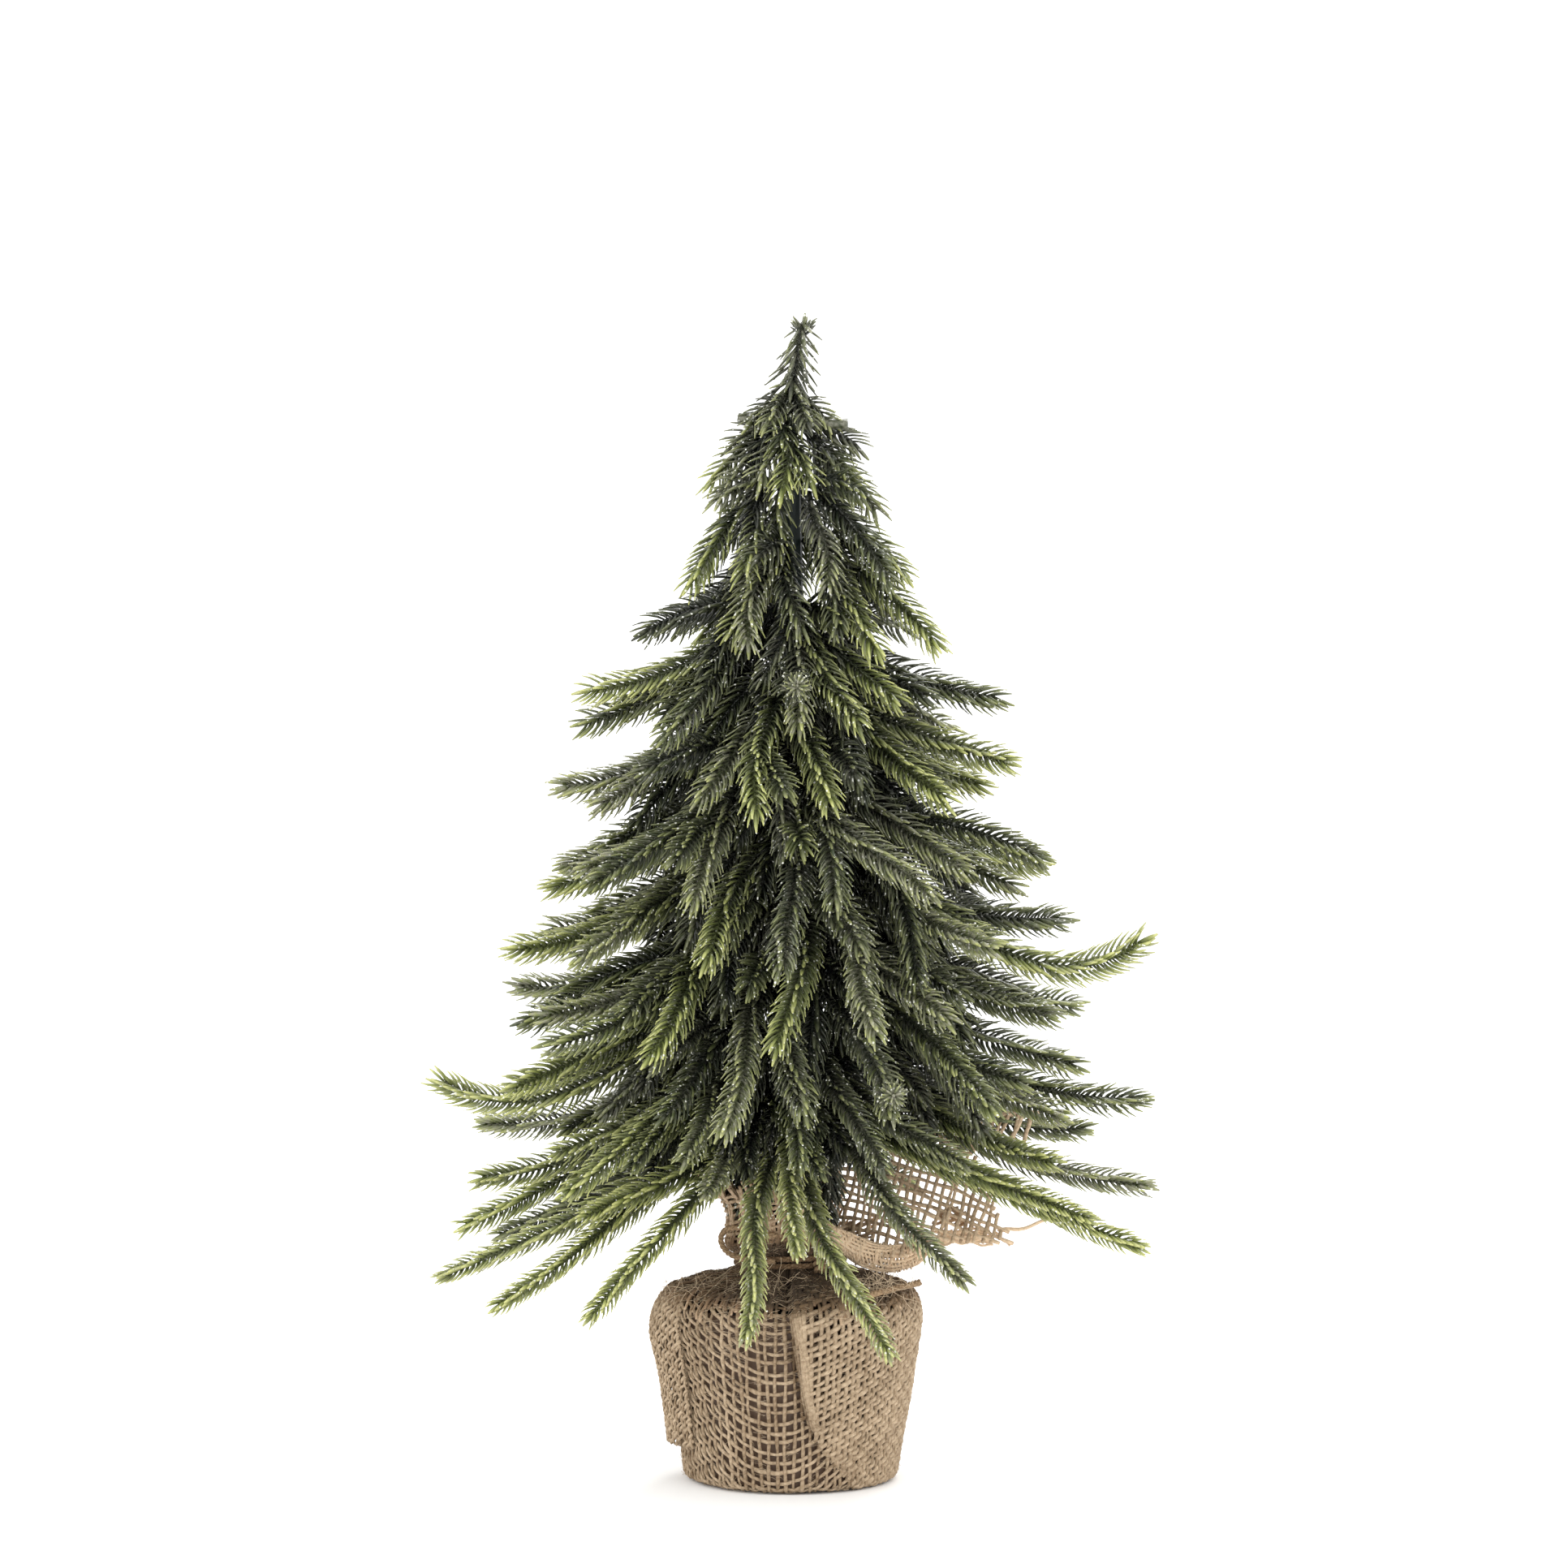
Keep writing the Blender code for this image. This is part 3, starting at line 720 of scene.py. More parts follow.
def lay(builder, route, normal, rng, width=THREAD, tone=0.5, painted_shade=0.42):
    """One thread of yarn along a route; it thickens and thins a little as jute does. Its
    tone carries painted shade in the gathers round the neck, and a painted shadow beside the
    pleat's crease."""
    count = len(route)
    knots = max(2, count // 3)
    wave = np.interp(np.arange(count), np.linspace(0, count - 1, knots),
                     rng.normal(0, 0.13, knots))
    radius = width * MM / 2 * (1 + np.clip(wave, -0.3, 0.35))
    height = route[:, 2] / MM
    facing = np.degrees(np.arctan2(route[:, 1], route[:, 0]))
    # Painted shade: darker in the gathers round the neck, most at the front and in the hollow under
    # the hem at the right
    painted_shade = painted_shade * (1.8 + 1.5 * bump(facing, -98, 22) + 1.2 * bump(facing, -46, 15))
    painted_shade = painted_shade * ease(height, 66, 77)
    # Painted shadow in a line beside the pleat's crease
    shadow = np.exp(-((facing - crease(height + 3.4) + 1.9) / 1.7) ** 2)
    tone = tone - 0.55 * shadow * ease(height, 20, 34) * (height < 68)
    tone = np.maximum(tone - painted_shade * (1 - ease(height, 88, 98)), DARKEST)
    tube(builder, route, radius, flat=0.72, up=normal, spun=True, tone=tone)


def lay_on_wrap(builder, rng, heading, run, lift, width=THREAD, tone=0.5):
    """One thread of yarn on the wrap, by headings, runs and lift."""
    route, normal = sack(heading, run, lift)
    lay(builder, route, normal, rng, width, tone)


def rise_of(s):
    """How much higher a weft runs at s mm of arc from its lowest point."""
    s = np.abs(s)
    return np.where(s < 20, 0.019 * s ** 2, 7.6 + 0.76 * (s - 20))


def weave(builder, rng, centre, left, right, low, high, lift=0.0, pitch=PITCH, weft_pitch=3.85,
          slope=1.0, shade=0.0, width=THREAD, loose=1.0, edge=None, amount=0.42):
    """A patch of plain weave on the wrap, between two headings and two runs. Its warps run
    up the side, and its wefts sag to their lowest at the centre heading. With an edge, it
    keeps to the right of that heading."""
    per_degree = pi * MEAN_RADIUS / 180
    s_left, s_right = (left - centre) * per_degree, (right - centre) * per_degree

    def thread(s, run, over, base, spread, fatness, inside):
        tone = varied(rng, base + shade, spread)
        fat = width * rng.uniform(*fatness)
        where = centre + s / per_degree
        if edge:
            inside = inside & (where > edge(run))
        off = over + (lift(where, run) if callable(lift) else lift)
        for part in stretches(inside):
            lay_on_wrap(builder, rng, where[part], run[part], off[part], fat, tone)

    for i in range(int(np.ceil(s_left / pitch)), int(np.floor(s_right / pitch)) + 1):
        s = i * pitch + rng.normal(0, 0.22) * loose
        run = np.arange(low, high + rng.uniform(-0.6, 0.6), YARN_STEP)
        s = s + 0.4 * loose * np.sin(run / 9 + 2.1 * i)
        over = amount * (-1) ** (i % 2) * np.cos(pi * (run - slope * rise_of(s)) / weft_pitch)
        thread(s, run, over, 0.30, 0.07, (0.85, 1.1), run > -1)
    tallest = float(slope * rise_of(max(abs(s_left), abs(s_right))))
    s = np.arange(s_left, s_right, YARN_STEP)
    for j in range(int(np.floor((low - tallest) / weft_pitch)), int(high / weft_pitch) + 1):
        run = j * weft_pitch + rng.normal(0, 0.22) * loose + slope * rise_of(s)
        run = run + 0.4 * loose * np.sin(s / 8 + 2.3 * j)
        over = -amount * (-1) ** (j % 2) * np.cos(pi * s / pitch)
        thread(s, run, over, 0.46, 0.08, (0.9, 1.15), (run > low) & (run < high))


def stretches(inside):
    """The index ranges over which a row of booleans stays true."""
    edges = np.flatnonzero(np.diff(np.concatenate([[0], inside.astype(int), [0]])))
    return [np.arange(a, b) for a, b in zip(edges[::2], edges[1::2]) if b - a > 3]


def flap_lift(heading, run):
    """The loose flap at the left stands off most in its middle, and least at its top."""
    held = 0.8 * ease(run, SHOULDER - 10, SHOULDER + 10)
    return (1.0 + 4.4 * bump(heading, 181, 23)) * (1 - held)


def panel_lift(heading, run):
    """The layer at the right of the front stands off a little less at the foot."""
    return 0.25 + 0.5 * ease(run, 14, 34)


def make_sack(material):
    rng = np.random.default_rng(31)
    builder = Builder()
    neck = RUN_END - 2
    weave(builder, rng, FRONT, -168, -46, 0, neck, lambda heading, run: -pleat(heading, run))
    weave(builder, rng, 40, 4, 56, 0, neck, lift=0.3, shade=0.1)
    weave(builder, rng, 92, 50, 132, 0, neck, lift=-0.2)
    weave(builder, rng, 161, 126, 196, 0, neck, lift=0.4)
    # Under the foot: a flat square grid
    for k in range(-10, 11):
        for across in (0, 1):
            half = sqrt(max(0, FOOT_RADIUS ** 2 - (k * FOOT_PITCH) ** 2))
            u = np.arange(-half, half, 1.5)
            z = 0.95 + 0.3 * (-1) ** (k % 2) * np.cos(pi * u / FOOT_PITCH) * (1 if across else -1)
            row = np.full(len(u), k * FOOT_PITCH)
            pair = (u, row) if across else (row, u)
            lay(builder, np.stack([*pair, z], axis=1) * MM, (0, 0, 1), rng,
                tone=0.45 + rng.normal(0, 0.1))
    body = builder.make("burlap_sack", material)

    # A second layer: the right of the front, and the flap at the left
    builder = Builder()
    weave(builder, rng, FRONT, -90, 8, 0, RUN_END - 8, panel_lift, pitch=2.6,
          weft_pitch=2.95, slope=0.7, shade=0.14, width=1.75, loose=0.7, edge=crease,
          amount=0.52)
    # The soft rolled edge of the pleat
    for beyond, lift in ((-0.5, -0.4), (0.4, 0.3), (1.3, 0.7), (2.3, 0.85), (3.3, 0.85)):
        run = np.arange(27 + rng.uniform(0, 4), SHOULDER + 6, YARN_STEP)
        lay_on_wrap(builder, rng, crease(run) + beyond + 0.25 * np.sin(run / 5 + beyond), run,
                    lift + 0.15 * np.sin(run / 2.1 + beyond), 1.5, 0.5 + rng.normal(0, 0.06))
    weave(builder, rng, 120, 148, 213, 18, SHOULDER + 12, lift=flap_lift, pitch=2.6,
          weft_pitch=2.8, slope=0.9, shade=0.08)
    return body, builder.make("burlap_folds", material)


def collar_lookup():
    """Points of the collar's right side, for looking up how deep they lie."""
    heading, share = np.meshgrid(np.linspace(-70, 66, 240), np.linspace(0.02, 1.08, 60))
    reach, rise = collar_edge(heading)
    foot_radius, foot_height = COLLAR_FOOT
    points = polar(np.radians(heading), foot_radius + (reach - foot_radius) * share,
                   foot_height + (rise - foot_height) * share)
    return points.reshape(-1, 3)


def make_collar(material):
    rng = np.random.default_rng(47)
    builder = Builder()

    def gathered(heading, run, lift, base):
        lift = lift + COLLAR_WAVE * np.sin(run / 2.2 + rng.uniform(0, 6))
        lay_on_wrap(builder, rng, heading, run, lift, THREAD * rng.uniform(0.75, 1.15),
                    varied(rng, base, 0.16))

    # Gathered warps from the shoulder through the tie to the frayed edge
    for heading in np.arange(62, 300, 2.1):
        heading = heading + rng.normal(0, 0.5)
        start = SHOULDER + rng.uniform(0, 14)
        run = np.arange(start, RUN_END + 38 + rng.uniform(-2, 5), COLLAR_STEP)
        bend = 2.2 * np.sin(run / 11 + rng.uniform(0, 6)) * ease(run, RUN_END, RUN_END + 30)
        gathered(heading + bend, run, rng.normal(0, 0.35) + 0.5, 0.36)
    for k, run in enumerate(np.arange(RUN_END - 1.5, RUN_END + 32, 3.4)):
        heading = np.arange(64, 297, 1.6)
        lay_on_wrap(builder, rng, heading, run + 0.8 * np.sin(np.radians(heading) * 7 + k),
                    0.5 + COLLAR_WAVE * np.sin(heading * 1.5 + k * pi),
                    tone=0.55 + rng.normal(0, 0.1))
    # At the right they end just above the tie
    for heading in np.arange(-62, 64, 2.1):
        heading = heading + rng.normal(0, 0.5)
        run = np.arange(SHOULDER + rng.uniform(2, 14), RUN_END + rng.uniform(3, 9),
                        COLLAR_STEP)
        gathered(heading, run, rng.normal(0.6, 0.35), 0.30)

    # The open corner at the right: a square mesh, seen from the front
    flat_points = collar_lookup()

    def drape(x, z, lift):
        """A thread's points by its x and z, and which of them are on the mesh."""
        near = np.argmin((flat_points[None, :, 0] - x[:, None]) ** 2
                         + (flat_points[None, :, 2] - z[:, None]) ** 2, axis=1)
        y = 0.62 * flat_points[near, 1] + 2.0 * np.sin(x / 13) - 3
        y = smooth(y, np.ones(5) / 5)
        low = np.interp(x, (14, 22, 28, 36, 43, 50, 58, 70, 84),
                        (98, 93, 89.5, 87, 86.5, 88.5, 93, 93, 93.5))
        far = np.interp(z, (92, 104, 114, 124, 138, 145), (84, 80, 74, 71, 78, 84))
        high = np.interp(x, (14, 34, 48, 66, 84), (118, 131, 137, 142, 144))
        return np.stack([x, y + lift, z], axis=1) * MM, (z > low) & (x < far) & (z < high)

    def yarn(route, tone, width=1.5):
        lay(builder, route, (0, -1, 0), rng, width, varied(rng, tone, 0.16), painted_shade=0)

    def swayed(along, k):
        """How far a thread strays to its sides."""
        return 0.6 * np.sin(along / rng.uniform(6, 10) + k)

    # Its wefts, then its warps; some run on past the mesh as loose ends
    for k in range(-10, 24):
        x = np.arange(14, 96, COLLAR_STEP)
        z = 88 + k * MESH_PITCH + 2 - 0.16 * (x - 20) - 0.0022 * (x - 20) ** 2 + rng.normal(0, 0.35)
        z = z + swayed(x, k) + 0.2 * np.sin(x / 2.3 + 3 * k)
        route, inside = drape(x, z, MESH_WAVE * (-1) ** (k % 2) * np.cos(pi * x / MESH_PITCH))
        for part in stretches(inside):
            if x[part[-1]] > 56:
                part = np.arange(part[0], min(len(x) - 1, part[-1] + rng.integers(0, 5)))
            yarn(route[part], 0.66)
    for k in range(30):
        z = np.arange(78, 148, COLLAR_STEP)
        x = 12 + k * 3.08 + (0.20 + 0.0095 * k) * (z - 100) + rng.normal(0, 0.35)
        x = x + swayed(z, k) + 0.2 * np.sin(z / 2.1 + 2 * k)
        route, inside = drape(x, z, -MESH_WAVE * (-1) ** (k % 2) * np.cos(pi * z / MESH_PITCH))
        for part in stretches(inside):
            reach_on = rng.integers(1, 4)
            part = np.arange(max(0, part[0] - rng.integers(0, 2)),
                             min(len(z) - 1, part[-1] + reach_on))
            yarn(route[part], 0.55)

    def loose(start, end, wave, tone, width=1.2):
        """A frayed thread between two places."""
        k = np.linspace(0, 1, 16)
        route = np.array(start) + (np.array(end) - np.array(start)) * k[:, None]
        route[:, 2] += wave * np.sin(k * rng.uniform(7, 12) + rng.uniform(0, 3)) * (1 - 0.4 * k)
        yarn(route * MM, tone, width)

    # The frayed clump along the corner's foot, and a darker knot of threads above it
    for k in range(20):
        x, z = rng.uniform(50, 68), rng.uniform(90.5, 96)
        loose((x, -7, z), (x + rng.uniform(7, 17), -7, z + rng.uniform(-2.5, 2)), 0.6, 0.8)
    for k in range(12):
        x, z = rng.uniform(54, 64), rng.uniform(98, 104)
        loose((x, -3, z), (x + rng.uniform(4, 8), -3, z + rng.uniform(-4, 4)), 0.5, 0.15)
    # A loose yarn that has come away at the corner, and a frayed end beside it
    loose((80, -4, 95), (105, -6, 101), 1.0, 0.9)
    loose((79, -4, 95), (85, -5, 90), 0.4, 0.8)

    def rim(x):
        """The height of the frayed rim behind the needles."""
        return 131 + 9 * np.sqrt((x - RIM_START) / 40)

    # The rim is a band of close threads with hanging ends
    for k in range(7):
        x = np.linspace(RIM_START, 98, 34)
        z = rim(x) + 0.7 * (k - 3) * (1 - (x - RIM_START) / 64)
        route = np.stack([x, np.full(34, 6.0 + 0.3 * k), z + 0.3 * np.sin(x / 4 + k)], axis=1)
        yarn(route[:34 - 2 * k] * MM, 0.6)
    for k in range(11):
        x = 66 + 2.8 * k + rng.normal(0, 0.5)
        z = rim(x) - 0.5
        loose((x, 5, z), (x - rng.uniform(3, 6), 3, z - rng.uniform(9, 14)), 0.4, 0.65, 1.5)

    # The rolled hem along the corner's foot: a fat fold of close weave
    count = 48
    share = np.linspace(0, 1, count)
    knots = np.linspace(0, 1, 7)
    path = np.stack([
        smooth(np.interp(share, knots, (15, 20.5, 27, 34.5, 42, 48.5, 54)), np.ones(9) / 9),
        -19 + 13 * share,
        smooth(np.interp(share, knots, (97, 92.6, 88.6, 86.2, 85.8, 87.4, 90.5)),
               np.ones(9) / 9)], axis=1)
    tall = np.interp(share, (0, 0.25, 0.6, 0.85, 1), (3.2, 4.8, 5.1, 4.2, 1.6))
    deep = np.interp(share, (0, 0.6, 1), (1.6, 2.6, 1.0))
    for k in range(17):
        angle = 2 * pi * k / 17
        wobble = 0.3 * np.sin(np.arange(count) / 4 + k)
        route = path + np.stack([0.3 * np.sin(np.arange(count) / 3 + 2 * k),
                                 deep * cos(angle) + wobble,
                                 tall * sin(angle) + wobble], axis=1)
        lay(builder, route * MM, (0, -cos(angle), sin(angle)), rng, 1.3, varied(rng, 0.8, 0.14),
            painted_shade=0)
    for k in range(count):
        angle = np.linspace(0, 2 * pi, 15) + rng.uniform(0, 1)
        swell = 1 + 0.14 * (-1) ** (k % 2) * np.cos(angle * 8)
        route = path[k] + np.stack([0.7 * np.sin(angle * 2 + k), deep[k] * np.cos(angle) * swell,
                                    tall[k] * np.sin(angle) * swell], axis=1)
        lay(builder, route * MM, (1, 0, 0), rng, 1.15, varied(rng, 0.85, 0.14), painted_shade=0)
    return builder.make("burlap_collar", material)


# --------------------------------------------------------------------------- the twine
LAY_LENGTH = 6.5 * MM
STRAND_RADIUS, STRAND_OFFSET = 0.66, 0.56
COIL_RADIUS, COIL_PITCH, COIL_TURNS = 21, 2.75, 2.2
KNOT_HEADING = -62
TAIL_ROUTE = ((17, -26.2, 81.8), (19.5, -32.5, 81), (22.5, -38.5, 78.4),
              (26.5, -41.6, 75.2), (32, -37.4, 75.8), (38, -30.2, 76.5), (44, -22, 76.7),
              (49.5, -14.5, 77))


def smooth_route(points, steps):
    """Points on a smooth curve through the given ones, with steps to each stretch."""
    points = [np.asarray(p, dtype=float) for p in points]
    ends = [points[0] * 2 - points[1]] + points + [points[-1] * 2 - points[-2]]
    out = []
    for a, b, c, d in zip(ends, ends[1:], ends[2:], ends[3:]):
        for k in range(steps):
            t = k / steps
            out.append(0.5 * (2 * b + (c - a) * t + (2 * a - 5 * b + 4 * c - d) * t ** 2
                              + (3 * b - a - 3 * c + d) * t ** 3))
    out.append(points[-1])
    return np.array(out)


def ply(builder, line, rng, size=1.0, tone=0.42):
    """Three strands laid round each other along a line."""
    line, total = resample(line, 0.8 * MM)
    _, side, top = frames(line)
    run = np.linspace(0, total, len(line))
    size = np.interp(np.linspace(0, 1, len(line)), np.linspace(0, 1, np.size(size)),
                     np.atleast_1d(size))
    for k in range(3):
        turn = 2 * pi * (run / LAY_LENGTH + k / 3)
        route = line + towards(side, top, turn) * (STRAND_OFFSET * MM * size)[:, None]
        tube(builder, route, STRAND_RADIUS * MM * size, sides=8, spun=True,
             tone=varied(rng, tone, 0.08))


def make_twine(material):
    rng = np.random.default_rng(5)
    turn = np.linspace(0, COIL_TURNS, 90)
    coil = polar(np.radians(KNOT_HEADING + 24 + 360 * turn), COIL_RADIUS,
                 TIE_HEIGHT - COIL_PITCH * COIL_TURNS / 2 + COIL_PITCH * turn) * MM
    builder = Builder()
    ply(builder, coil, rng, tone=0.15)
    # A bight of the twine stands out at the left
    bight = [np.array(p) * MM for p in (
        (-5, -25, 96), (-12, -23.5, 97.6), (-19, -18.5, 98.4), (-24.2, -16, 97.8),
        (-26.5, -14, 95), (-26.5, -14, 92), (-24.2, -17, 89), (-19.5, -20, 87),
        (-13, -21.5, 86), (-6, -22.6, 86))]
    ply(builder, smooth_route(bight, 6), rng)
    coils = builder.make("twine_coils", material)
    fit_piece(coils, STAND, "twine_turns")

    # The knot: three loops of the twine pulled tight over each other
    builder = Builder()
    centre = at(KNOT_HEADING, 24.7, TIE_HEIGHT - 0.5) * MM
    out = at(KNOT_HEADING, 1, 0)
    along = at(KNOT_HEADING + 90, 1, 0)
    up = np.array((0.0, 0.0, 1.0))
    turn = np.linspace(0, 2 * pi * 0.93, 30)[:, None]
    for lean, wide, tall in ((35, 2.5, 2.0), (-40, 2.3, 2.2), (90, 1.9, 2.3)):
        axis = along * cos(radians(lean)) + up * sin(radians(lean))
        loop = centre + (axis * np.cos(turn) * wide + out * np.sin(turn) * tall
                         + np.cross(axis, out) * 0.7 * np.sin(2 * turn)) * MM
        ply(builder, loop, rng, size=0.8)
    fit_piece(builder.make("twine_knot_loops", material), STAND, "twine_knot")
    return coils


def make_tail(material):
    """The cut end of the twine, loose over the cloth's shoulder."""
    rng = np.random.default_rng(8)
    path = smooth_route([np.array(p) * MM for p in TAIL_ROUTE], 6)
    builder = Builder()
    ply(builder, path, rng, size=(1, 1.05, 1.1, 1.1, 1.1, 1.1, 1.1, 1.2), tone=0.6)
    tail = builder.make("twine_tail_yarn", material)
    fit_piece(tail, STAND, "twine_tail")


def make_fuzz(material):
    """Loose fibres of the jute: a haze on the shoulder and neck, some on the sides, and
    wisps of long ones."""
    rng = np.random.default_rng(12)
    builder = Builder()

    def fibre(start, heading_step, run_step, lift, thick):
        count = 7
        k = np.linspace(0, 1, count)
        heading = start[0] + heading_step * k + rng.normal(0, 1.5, count)
        run = start[1] + run_step * k
        height = lift[0] + (lift[1] - lift[0]) * k + rng.normal(0, 0.35, count)
        route, _ = sack(heading, run, height)
        tube(builder, route, np.linspace(thick, thick * 0.5, count) * MM, sides=4, spun=True,
             tone=varied(rng, 0.8, 0.15))

    def curl(centre, spread, reach, thick):
        """One long curly fibre round a place, standing clear of the cloth."""
        k = np.linspace(0, 1, 16)[:, None]
        start = np.array(centre) + rng.normal(0, 1, 3) * spread
        along = unit(rng.normal(0, 1, 3) * (1, 0.35, 1.0)) * reach
        wander = np.cumsum(np.cumsum(rng.normal(0, 1, (16, 3)), axis=0), axis=0) * (reach / 90)
        tube(builder, (start + along * (k - 0.5) + wander) * MM, thick * MM, sides=4, spun=True,
             tone=varied(rng, 1.0, 0.15))

    for _ in range(1500):
        run = SHOULDER - 6 + rng.beta(1.6, 1.6) * (RUN_END - SHOULDER + 12)
        fibre((rng.uniform(0, 360), run), rng.normal(0, 11), rng.uniform(-9, 9),
              (0.7, rng.uniform(0.6, 2.6)), rng.uniform(0.06, 0.11))
    for _ in range(700):
        fibre((rng.uniform(0, 360), rng.uniform(2, SHOULDER)), rng.normal(0, 7),
              rng.uniform(-6, 6), (0.6, rng.uniform(0.6, 2.2)), rng.uniform(0.05, 0.09))
    # Three wisps of long fibres: over the tie, by the tail and at the left of the neck
    for many, centre, spread, reach, thick in (
            (26, (-6, -30, 78), (4.5, 2.0, 5.5), (8, 17), (0.08, 0.12)),
            (70, (32, -34, 76.5), (6.5, 2.5, 3.0), (5, 11), (0.08, 0.12)),
            (30, (-36, -22, 75), (5.5, 5.0, 2.5), (6, 12), (0.07, 0.11))):
        for _ in range(many):
            curl(centre, spread, rng.uniform(*reach), rng.uniform(*thick))
    return builder.make("burlap_fuzz", material)


# ---------------------------------------------------------------------------- materials
class Shader:
    """A material, and short ways to add nodes to it."""

    def __init__(self, name, roughness):
        self.material = bpy.data.materials.new(name)
        self.material.use_nodes = True
        self.nodes = self.material.node_tree.nodes
        self.inputs = self.nodes["Principled BSDF"].inputs
        self.inputs["Roughness"].default_value = roughness

    def put(self, value, socket):
        """Gives a socket a value: another node's output, an RGB colour or a number."""
        if hasattr(value, "is_linked"):
            self.material.node_tree.links.new(value, socket)
        elif isinstance(value, tuple):
            socket.default_value = (*value, 1)
        else:
            socket.default_value = value

    def add(self, kind, **settings):
        made = self.nodes.new("ShaderNode" + kind)
        for key, value in settings.items():
            setattr(made, key, value)
        return made

    def maths(self, operation, *values, clamp=False):
        made = self.add("Math", operation=operation, use_clamp=clamp)
        for socket, value in zip(made.inputs, values):
            self.put(value, socket)
        return made.outputs[0]

    def times(self, a, b, clamp=False):
        return self.maths("MULTIPLY", a, b, clamp=clamp)

    def linear(self, value, factor, plus, clamp=False):
        return self.maths("MULTIPLY_ADD", value, factor, plus, clamp=clamp)

    def mix(self, factor, a, b, blend="MIX"):
        """A mix of two colours."""
        made = self.add("Mix", data_type="RGBA", blend_type=blend)
        for index, value in ((0, factor), (6, a), (7, b)):
            self.put(value, made.inputs[index])
        return made.outputs[2]

    def attributes(self, *names):
        return [self.add("Attribute", attribute_name=name).outputs["Fac"] for name in names]

    def texture(self, kind, place, **constants):
        """A texture of the object's own space, with its constants by socket name."""
        made = self.add("Tex" + kind)
        for key, value in constants.items():
            made.inputs[key].default_value = value
        self.put(place, made.inputs["Vector"])
        return made.outputs

    def relief(self, height, strength):
        made = self.add("Bump")
        made.inputs["Strength"].default_value = strength
        made.inputs["Distance"].default_value = 0.0002
        self.put(height, made.inputs["Height"])
        self.put(made.outputs["Normal"], self.inputs["Normal"])


def needle_material():
    """Moulded needles: dark inside the tree with painted shade, and yellow green at their
    tips, with patches of grey frost and pale specks of glitter."""
    sh = Shader("needles", 0.36)
    along, end, tone, frost, flake = sh.attributes("along", "end", "tone", "frost", "flake")
    place = sh.add("TexCoord").outputs["Object"]
    mottle = sh.texture("Noise", place, Scale=520, Detail=3)["Fac"]
    dark, mid = (0.0040, 0.0066, 0.0054), (0.040, 0.056, 0.019)
    light, tip = (0.225, 0.262, 0.062), (0.54, 0.55, 0.20)
    grey, pale = (0.30, 0.29, 0.225), (0.85, 0.85, 0.78)

    # Painted shade: from near black, as the shade inside the tree, to the needles' own green
    out_of_shade = sh.maths("POWER", end, 1.45)
    reach = sh.times(along, sh.linear(out_of_shade, 1.15, 0.06))
    reach = sh.linear(sh.times(out_of_shade, tone), 0.8, reach)
    body = sh.mix(sh.maths("ADD", reach, 0, clamp=True), dark, mid)
    # Lighter with the sprig's tone and towards the needles' tips, and out of the painted shade
    # towards the sprig's end
    glow = sh.times(sh.linear(sh.maths("POWER", end, 1.5), 1.05, 0.06), tone)
    glow = sh.times(glow, sh.linear(sh.maths("POWER", along, 1.4), 1.05,
                                    sh.linear(out_of_shade, 0.30, 0.05)))
    body = sh.mix(sh.times(glow, 1.25, clamp=True), body, light)
    ends = sh.times(sh.maths("POWER", along, 3.0), glow)
    body = sh.mix(sh.times(ends, 1.1, clamp=True), body, tip)
    # Frost, less of it towards the sprig's root and in the painted shade
    dust = sh.times(sh.linear(mottle, 3.2, -1.15, clamp=True), frost)
    dust = sh.times(dust, sh.linear(end, 0.75, 0.25), clamp=True)
    body = sh.mix(dust, body, grey)
    # Glitter: specks on the needles, and the flakes
    flakes = sh.texture("Voronoi", place, Scale=900)
    split = sh.add("SeparateColor")
    sh.put(flakes["Color"], split.inputs[0])
    spark = sh.times(sh.maths("GREATER_THAN", split.outputs[0], 0.90),
                     sh.maths("LESS_THAN", flakes["Distance"], 0.42))
    spark = sh.times(spark, sh.linear(along, 0.8, 0.2))
    spark = sh.maths("MAXIMUM", spark, flake)
    sh.put(sh.mix(spark, body, pale), sh.inputs["Base Color"])
    sh.put(sh.linear(spark, -0.2, 0.38), sh.inputs["Roughness"])
    sh.relief(mottle, 0.25)
    return sh.material


def yarn_material(name, dark, light, twist_length=2.4):
    """Spun jute: its tone by thread, streaks along the fibres and a fine twist."""
    sh = Shader(name, 0.92)
    tone, run, cv, sv = sh.attributes("tone", "run", "cv", "sv")
    turn = sh.times(run, 2 * pi / twist_length)
    twist = sh.maths("ADD", sh.times(sh.maths("SINE", turn), cv),
                     sh.times(sh.maths("COSINE", turn), sv))
    place = sh.add("TexCoord").outputs["Object"]
    patch = sh.texture("Noise", place, Scale=90, Detail=5, Roughness=0.7)["Fac"]
    fibre = sh.texture("Noise", place, Scale=1700, Detail=3)["Fac"]
    level = sh.maths("ADD", sh.linear(patch, 0.9, -0.45), tone)
    level = sh.maths("ADD", level, sh.linear(fibre, 0.7, -0.35))
    level = sh.linear(twist, 0.10, level)
    level = sh.maths("ADD", level, 0, clamp=True)
    # Tones below 0, which come only from the painted shade and shadow, go darker still
    deep = sh.linear(tone, 1.3, 1.0, clamp=True)
    sh.put(sh.mix(1.0, sh.mix(level, dark, light), deep, blend="MULTIPLY"),
           sh.inputs["Base Color"])
    sh.relief(sh.linear(twist, 0.5, fibre), 0.5)
    return sh.material


def plain(name, colour, roughness, scale=300, metallic=0.0):
    """A material for a solid part, mottled a little."""
    sh = Shader(name, roughness)
    mottle = sh.texture("Noise", sh.add("TexCoord").outputs["Object"], Scale=scale, Detail=4)
    deep = tuple(c * 0.6 for c in colour)
    sh.put(sh.mix(mottle["Fac"], deep, colour), sh.inputs["Base Color"])
    sh.inputs["Metallic"].default_value = metallic
    return sh.material


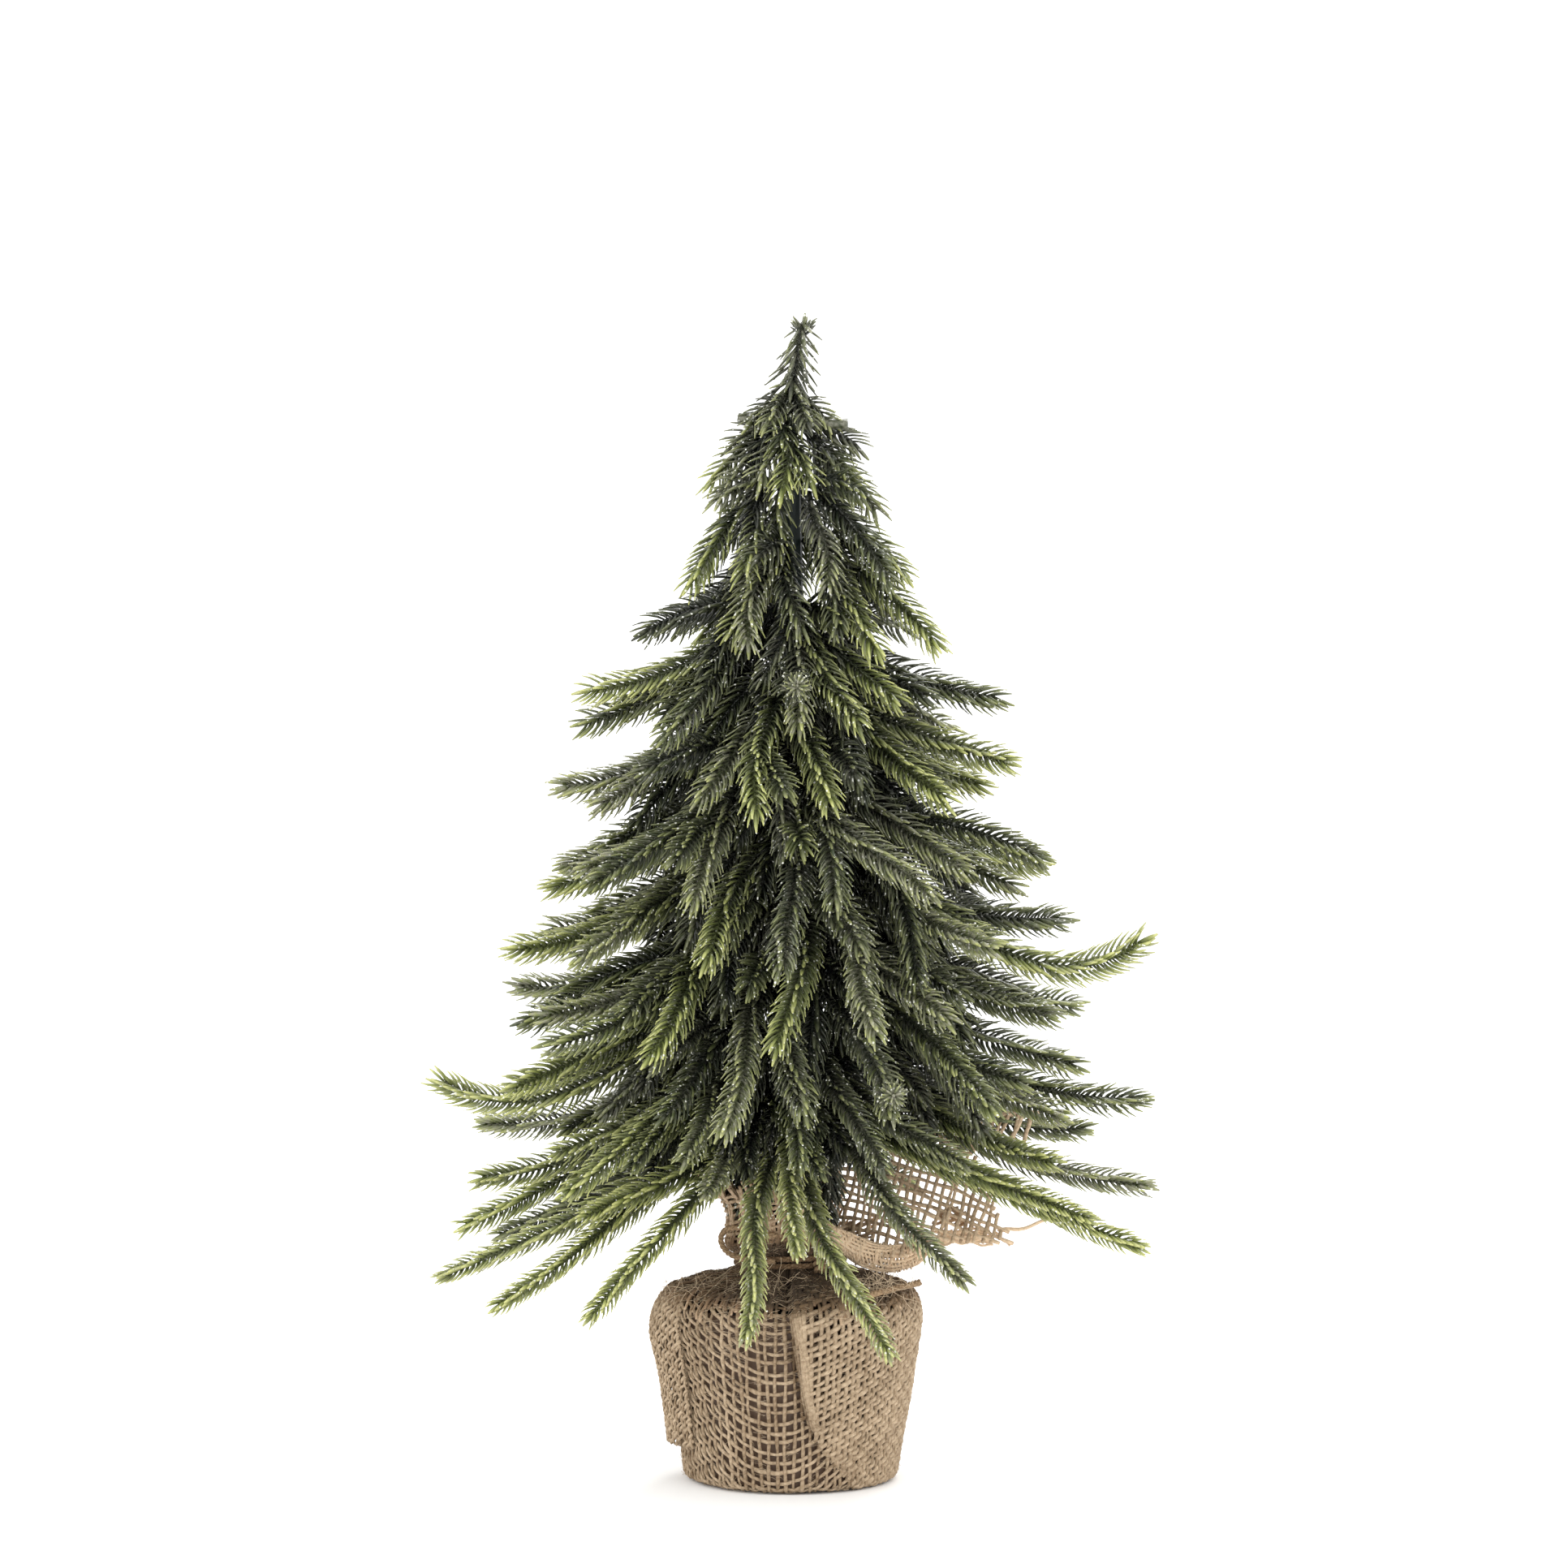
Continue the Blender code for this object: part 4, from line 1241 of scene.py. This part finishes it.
def dress_nodes():
    for name, material in (
            ("pot_shell", plain("pot_plastic", (0.150, 0.088, 0.052), 0.5)),
            ("ballast", plain("cement", (0.42, 0.40, 0.37), 0.9, 120)),
            ("trunk_rod", plain("rod_steel", (0.45, 0.45, 0.44), 0.35, 80, 1.0)),
            ("trunk_tape", plain("tape", (0.008, 0.020, 0.016), 0.5, 90))):
        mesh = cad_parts[name].data
        mesh.materials.clear()
        mesh.materials.append(material)


# ------------------------------------------------------------------------ stage and view
CAMERA_AT = (-0.0025, -1.5, 0.2685)
FOCAL_LENGTH, SENSOR_WIDTH = 88.8, 36
SKY_STRENGTH = 1.38
# Soft lights: place, what they point at, size in metres and power
LIGHTS = {
    "key": ((0.9, -1.3, 1.5), (0, 0, 0.2), 1.5, 8),
    "fill": ((-1.3, -1.1, 0.9), (0, 0, 0.2), 1.2, 8),
    "back": ((0.5, 1.4, 1.3), (0, 0, 0.3), 0.8, 12),
}


def make_stage():
    scene = bpy.context.scene
    bpy.ops.mesh.primitive_plane_add(size=8, location=(0, 1.5, 0))
    floor = bpy.context.object
    floor.name = "floor"
    pale = Shader("floor", 0.9)
    pale.put((0.98, 0.98, 0.98), pale.inputs["Base Color"])
    floor.data.materials.append(pale.material)
    world = bpy.data.worlds.new("studio")
    world.use_nodes = True
    background = world.node_tree.nodes["Background"].inputs
    background["Color"].default_value = (1, 1, 1, 1)
    background["Strength"].default_value = SKY_STRENGTH
    scene.world = world
    for name, (where, aim, size, power) in LIGHTS.items():
        light = bpy.data.lights.new(name, "AREA")
        light.size = size
        light.energy = power
        lamp = bpy.data.objects.new(name, light)
        lamp.location = where
        lamp.rotation_euler = (Vector(aim) - Vector(where)).to_track_quat("-Z", "Y").to_euler()
        scene.collection.objects.link(lamp)
    lens = bpy.data.cameras.new("view")
    lens.lens = FOCAL_LENGTH
    lens.sensor_width = SENSOR_WIDTH
    camera = bpy.data.objects.new("view", lens)
    camera.location = CAMERA_AT
    camera.rotation_euler = (pi / 2, 0, 0)
    scene.collection.objects.link(camera)
    scene.camera = camera
    scene.view_settings.view_transform = "Standard"


make_stage()
twine = yarn_material("jute_twine", (0.11, 0.062, 0.028), (0.50, 0.345, 0.20), 1.6)
make_tail(twine)
dress_nodes()
needles = needle_material()
make_branches(needles)
make_leader(needles)
coils = make_twine(twine)
jute = yarn_material("burlap", (0.17, 0.108, 0.056), (0.60, 0.465, 0.315))
wrap, wrap_folds = make_sack(jute)
# The collar has a lighter copy of the burlap: painted light, for the light that comes through its
# open mesh
collar = make_collar(yarn_material("burlap_painted_backlight", (0.25, 0.158, 0.088), (0.77, 0.585, 0.395)))
fuzz = make_fuzz(jute)
for piece in (wrap, wrap_folds, collar, fuzz):
    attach(piece, STAND)
    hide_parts("burlap_wrap")
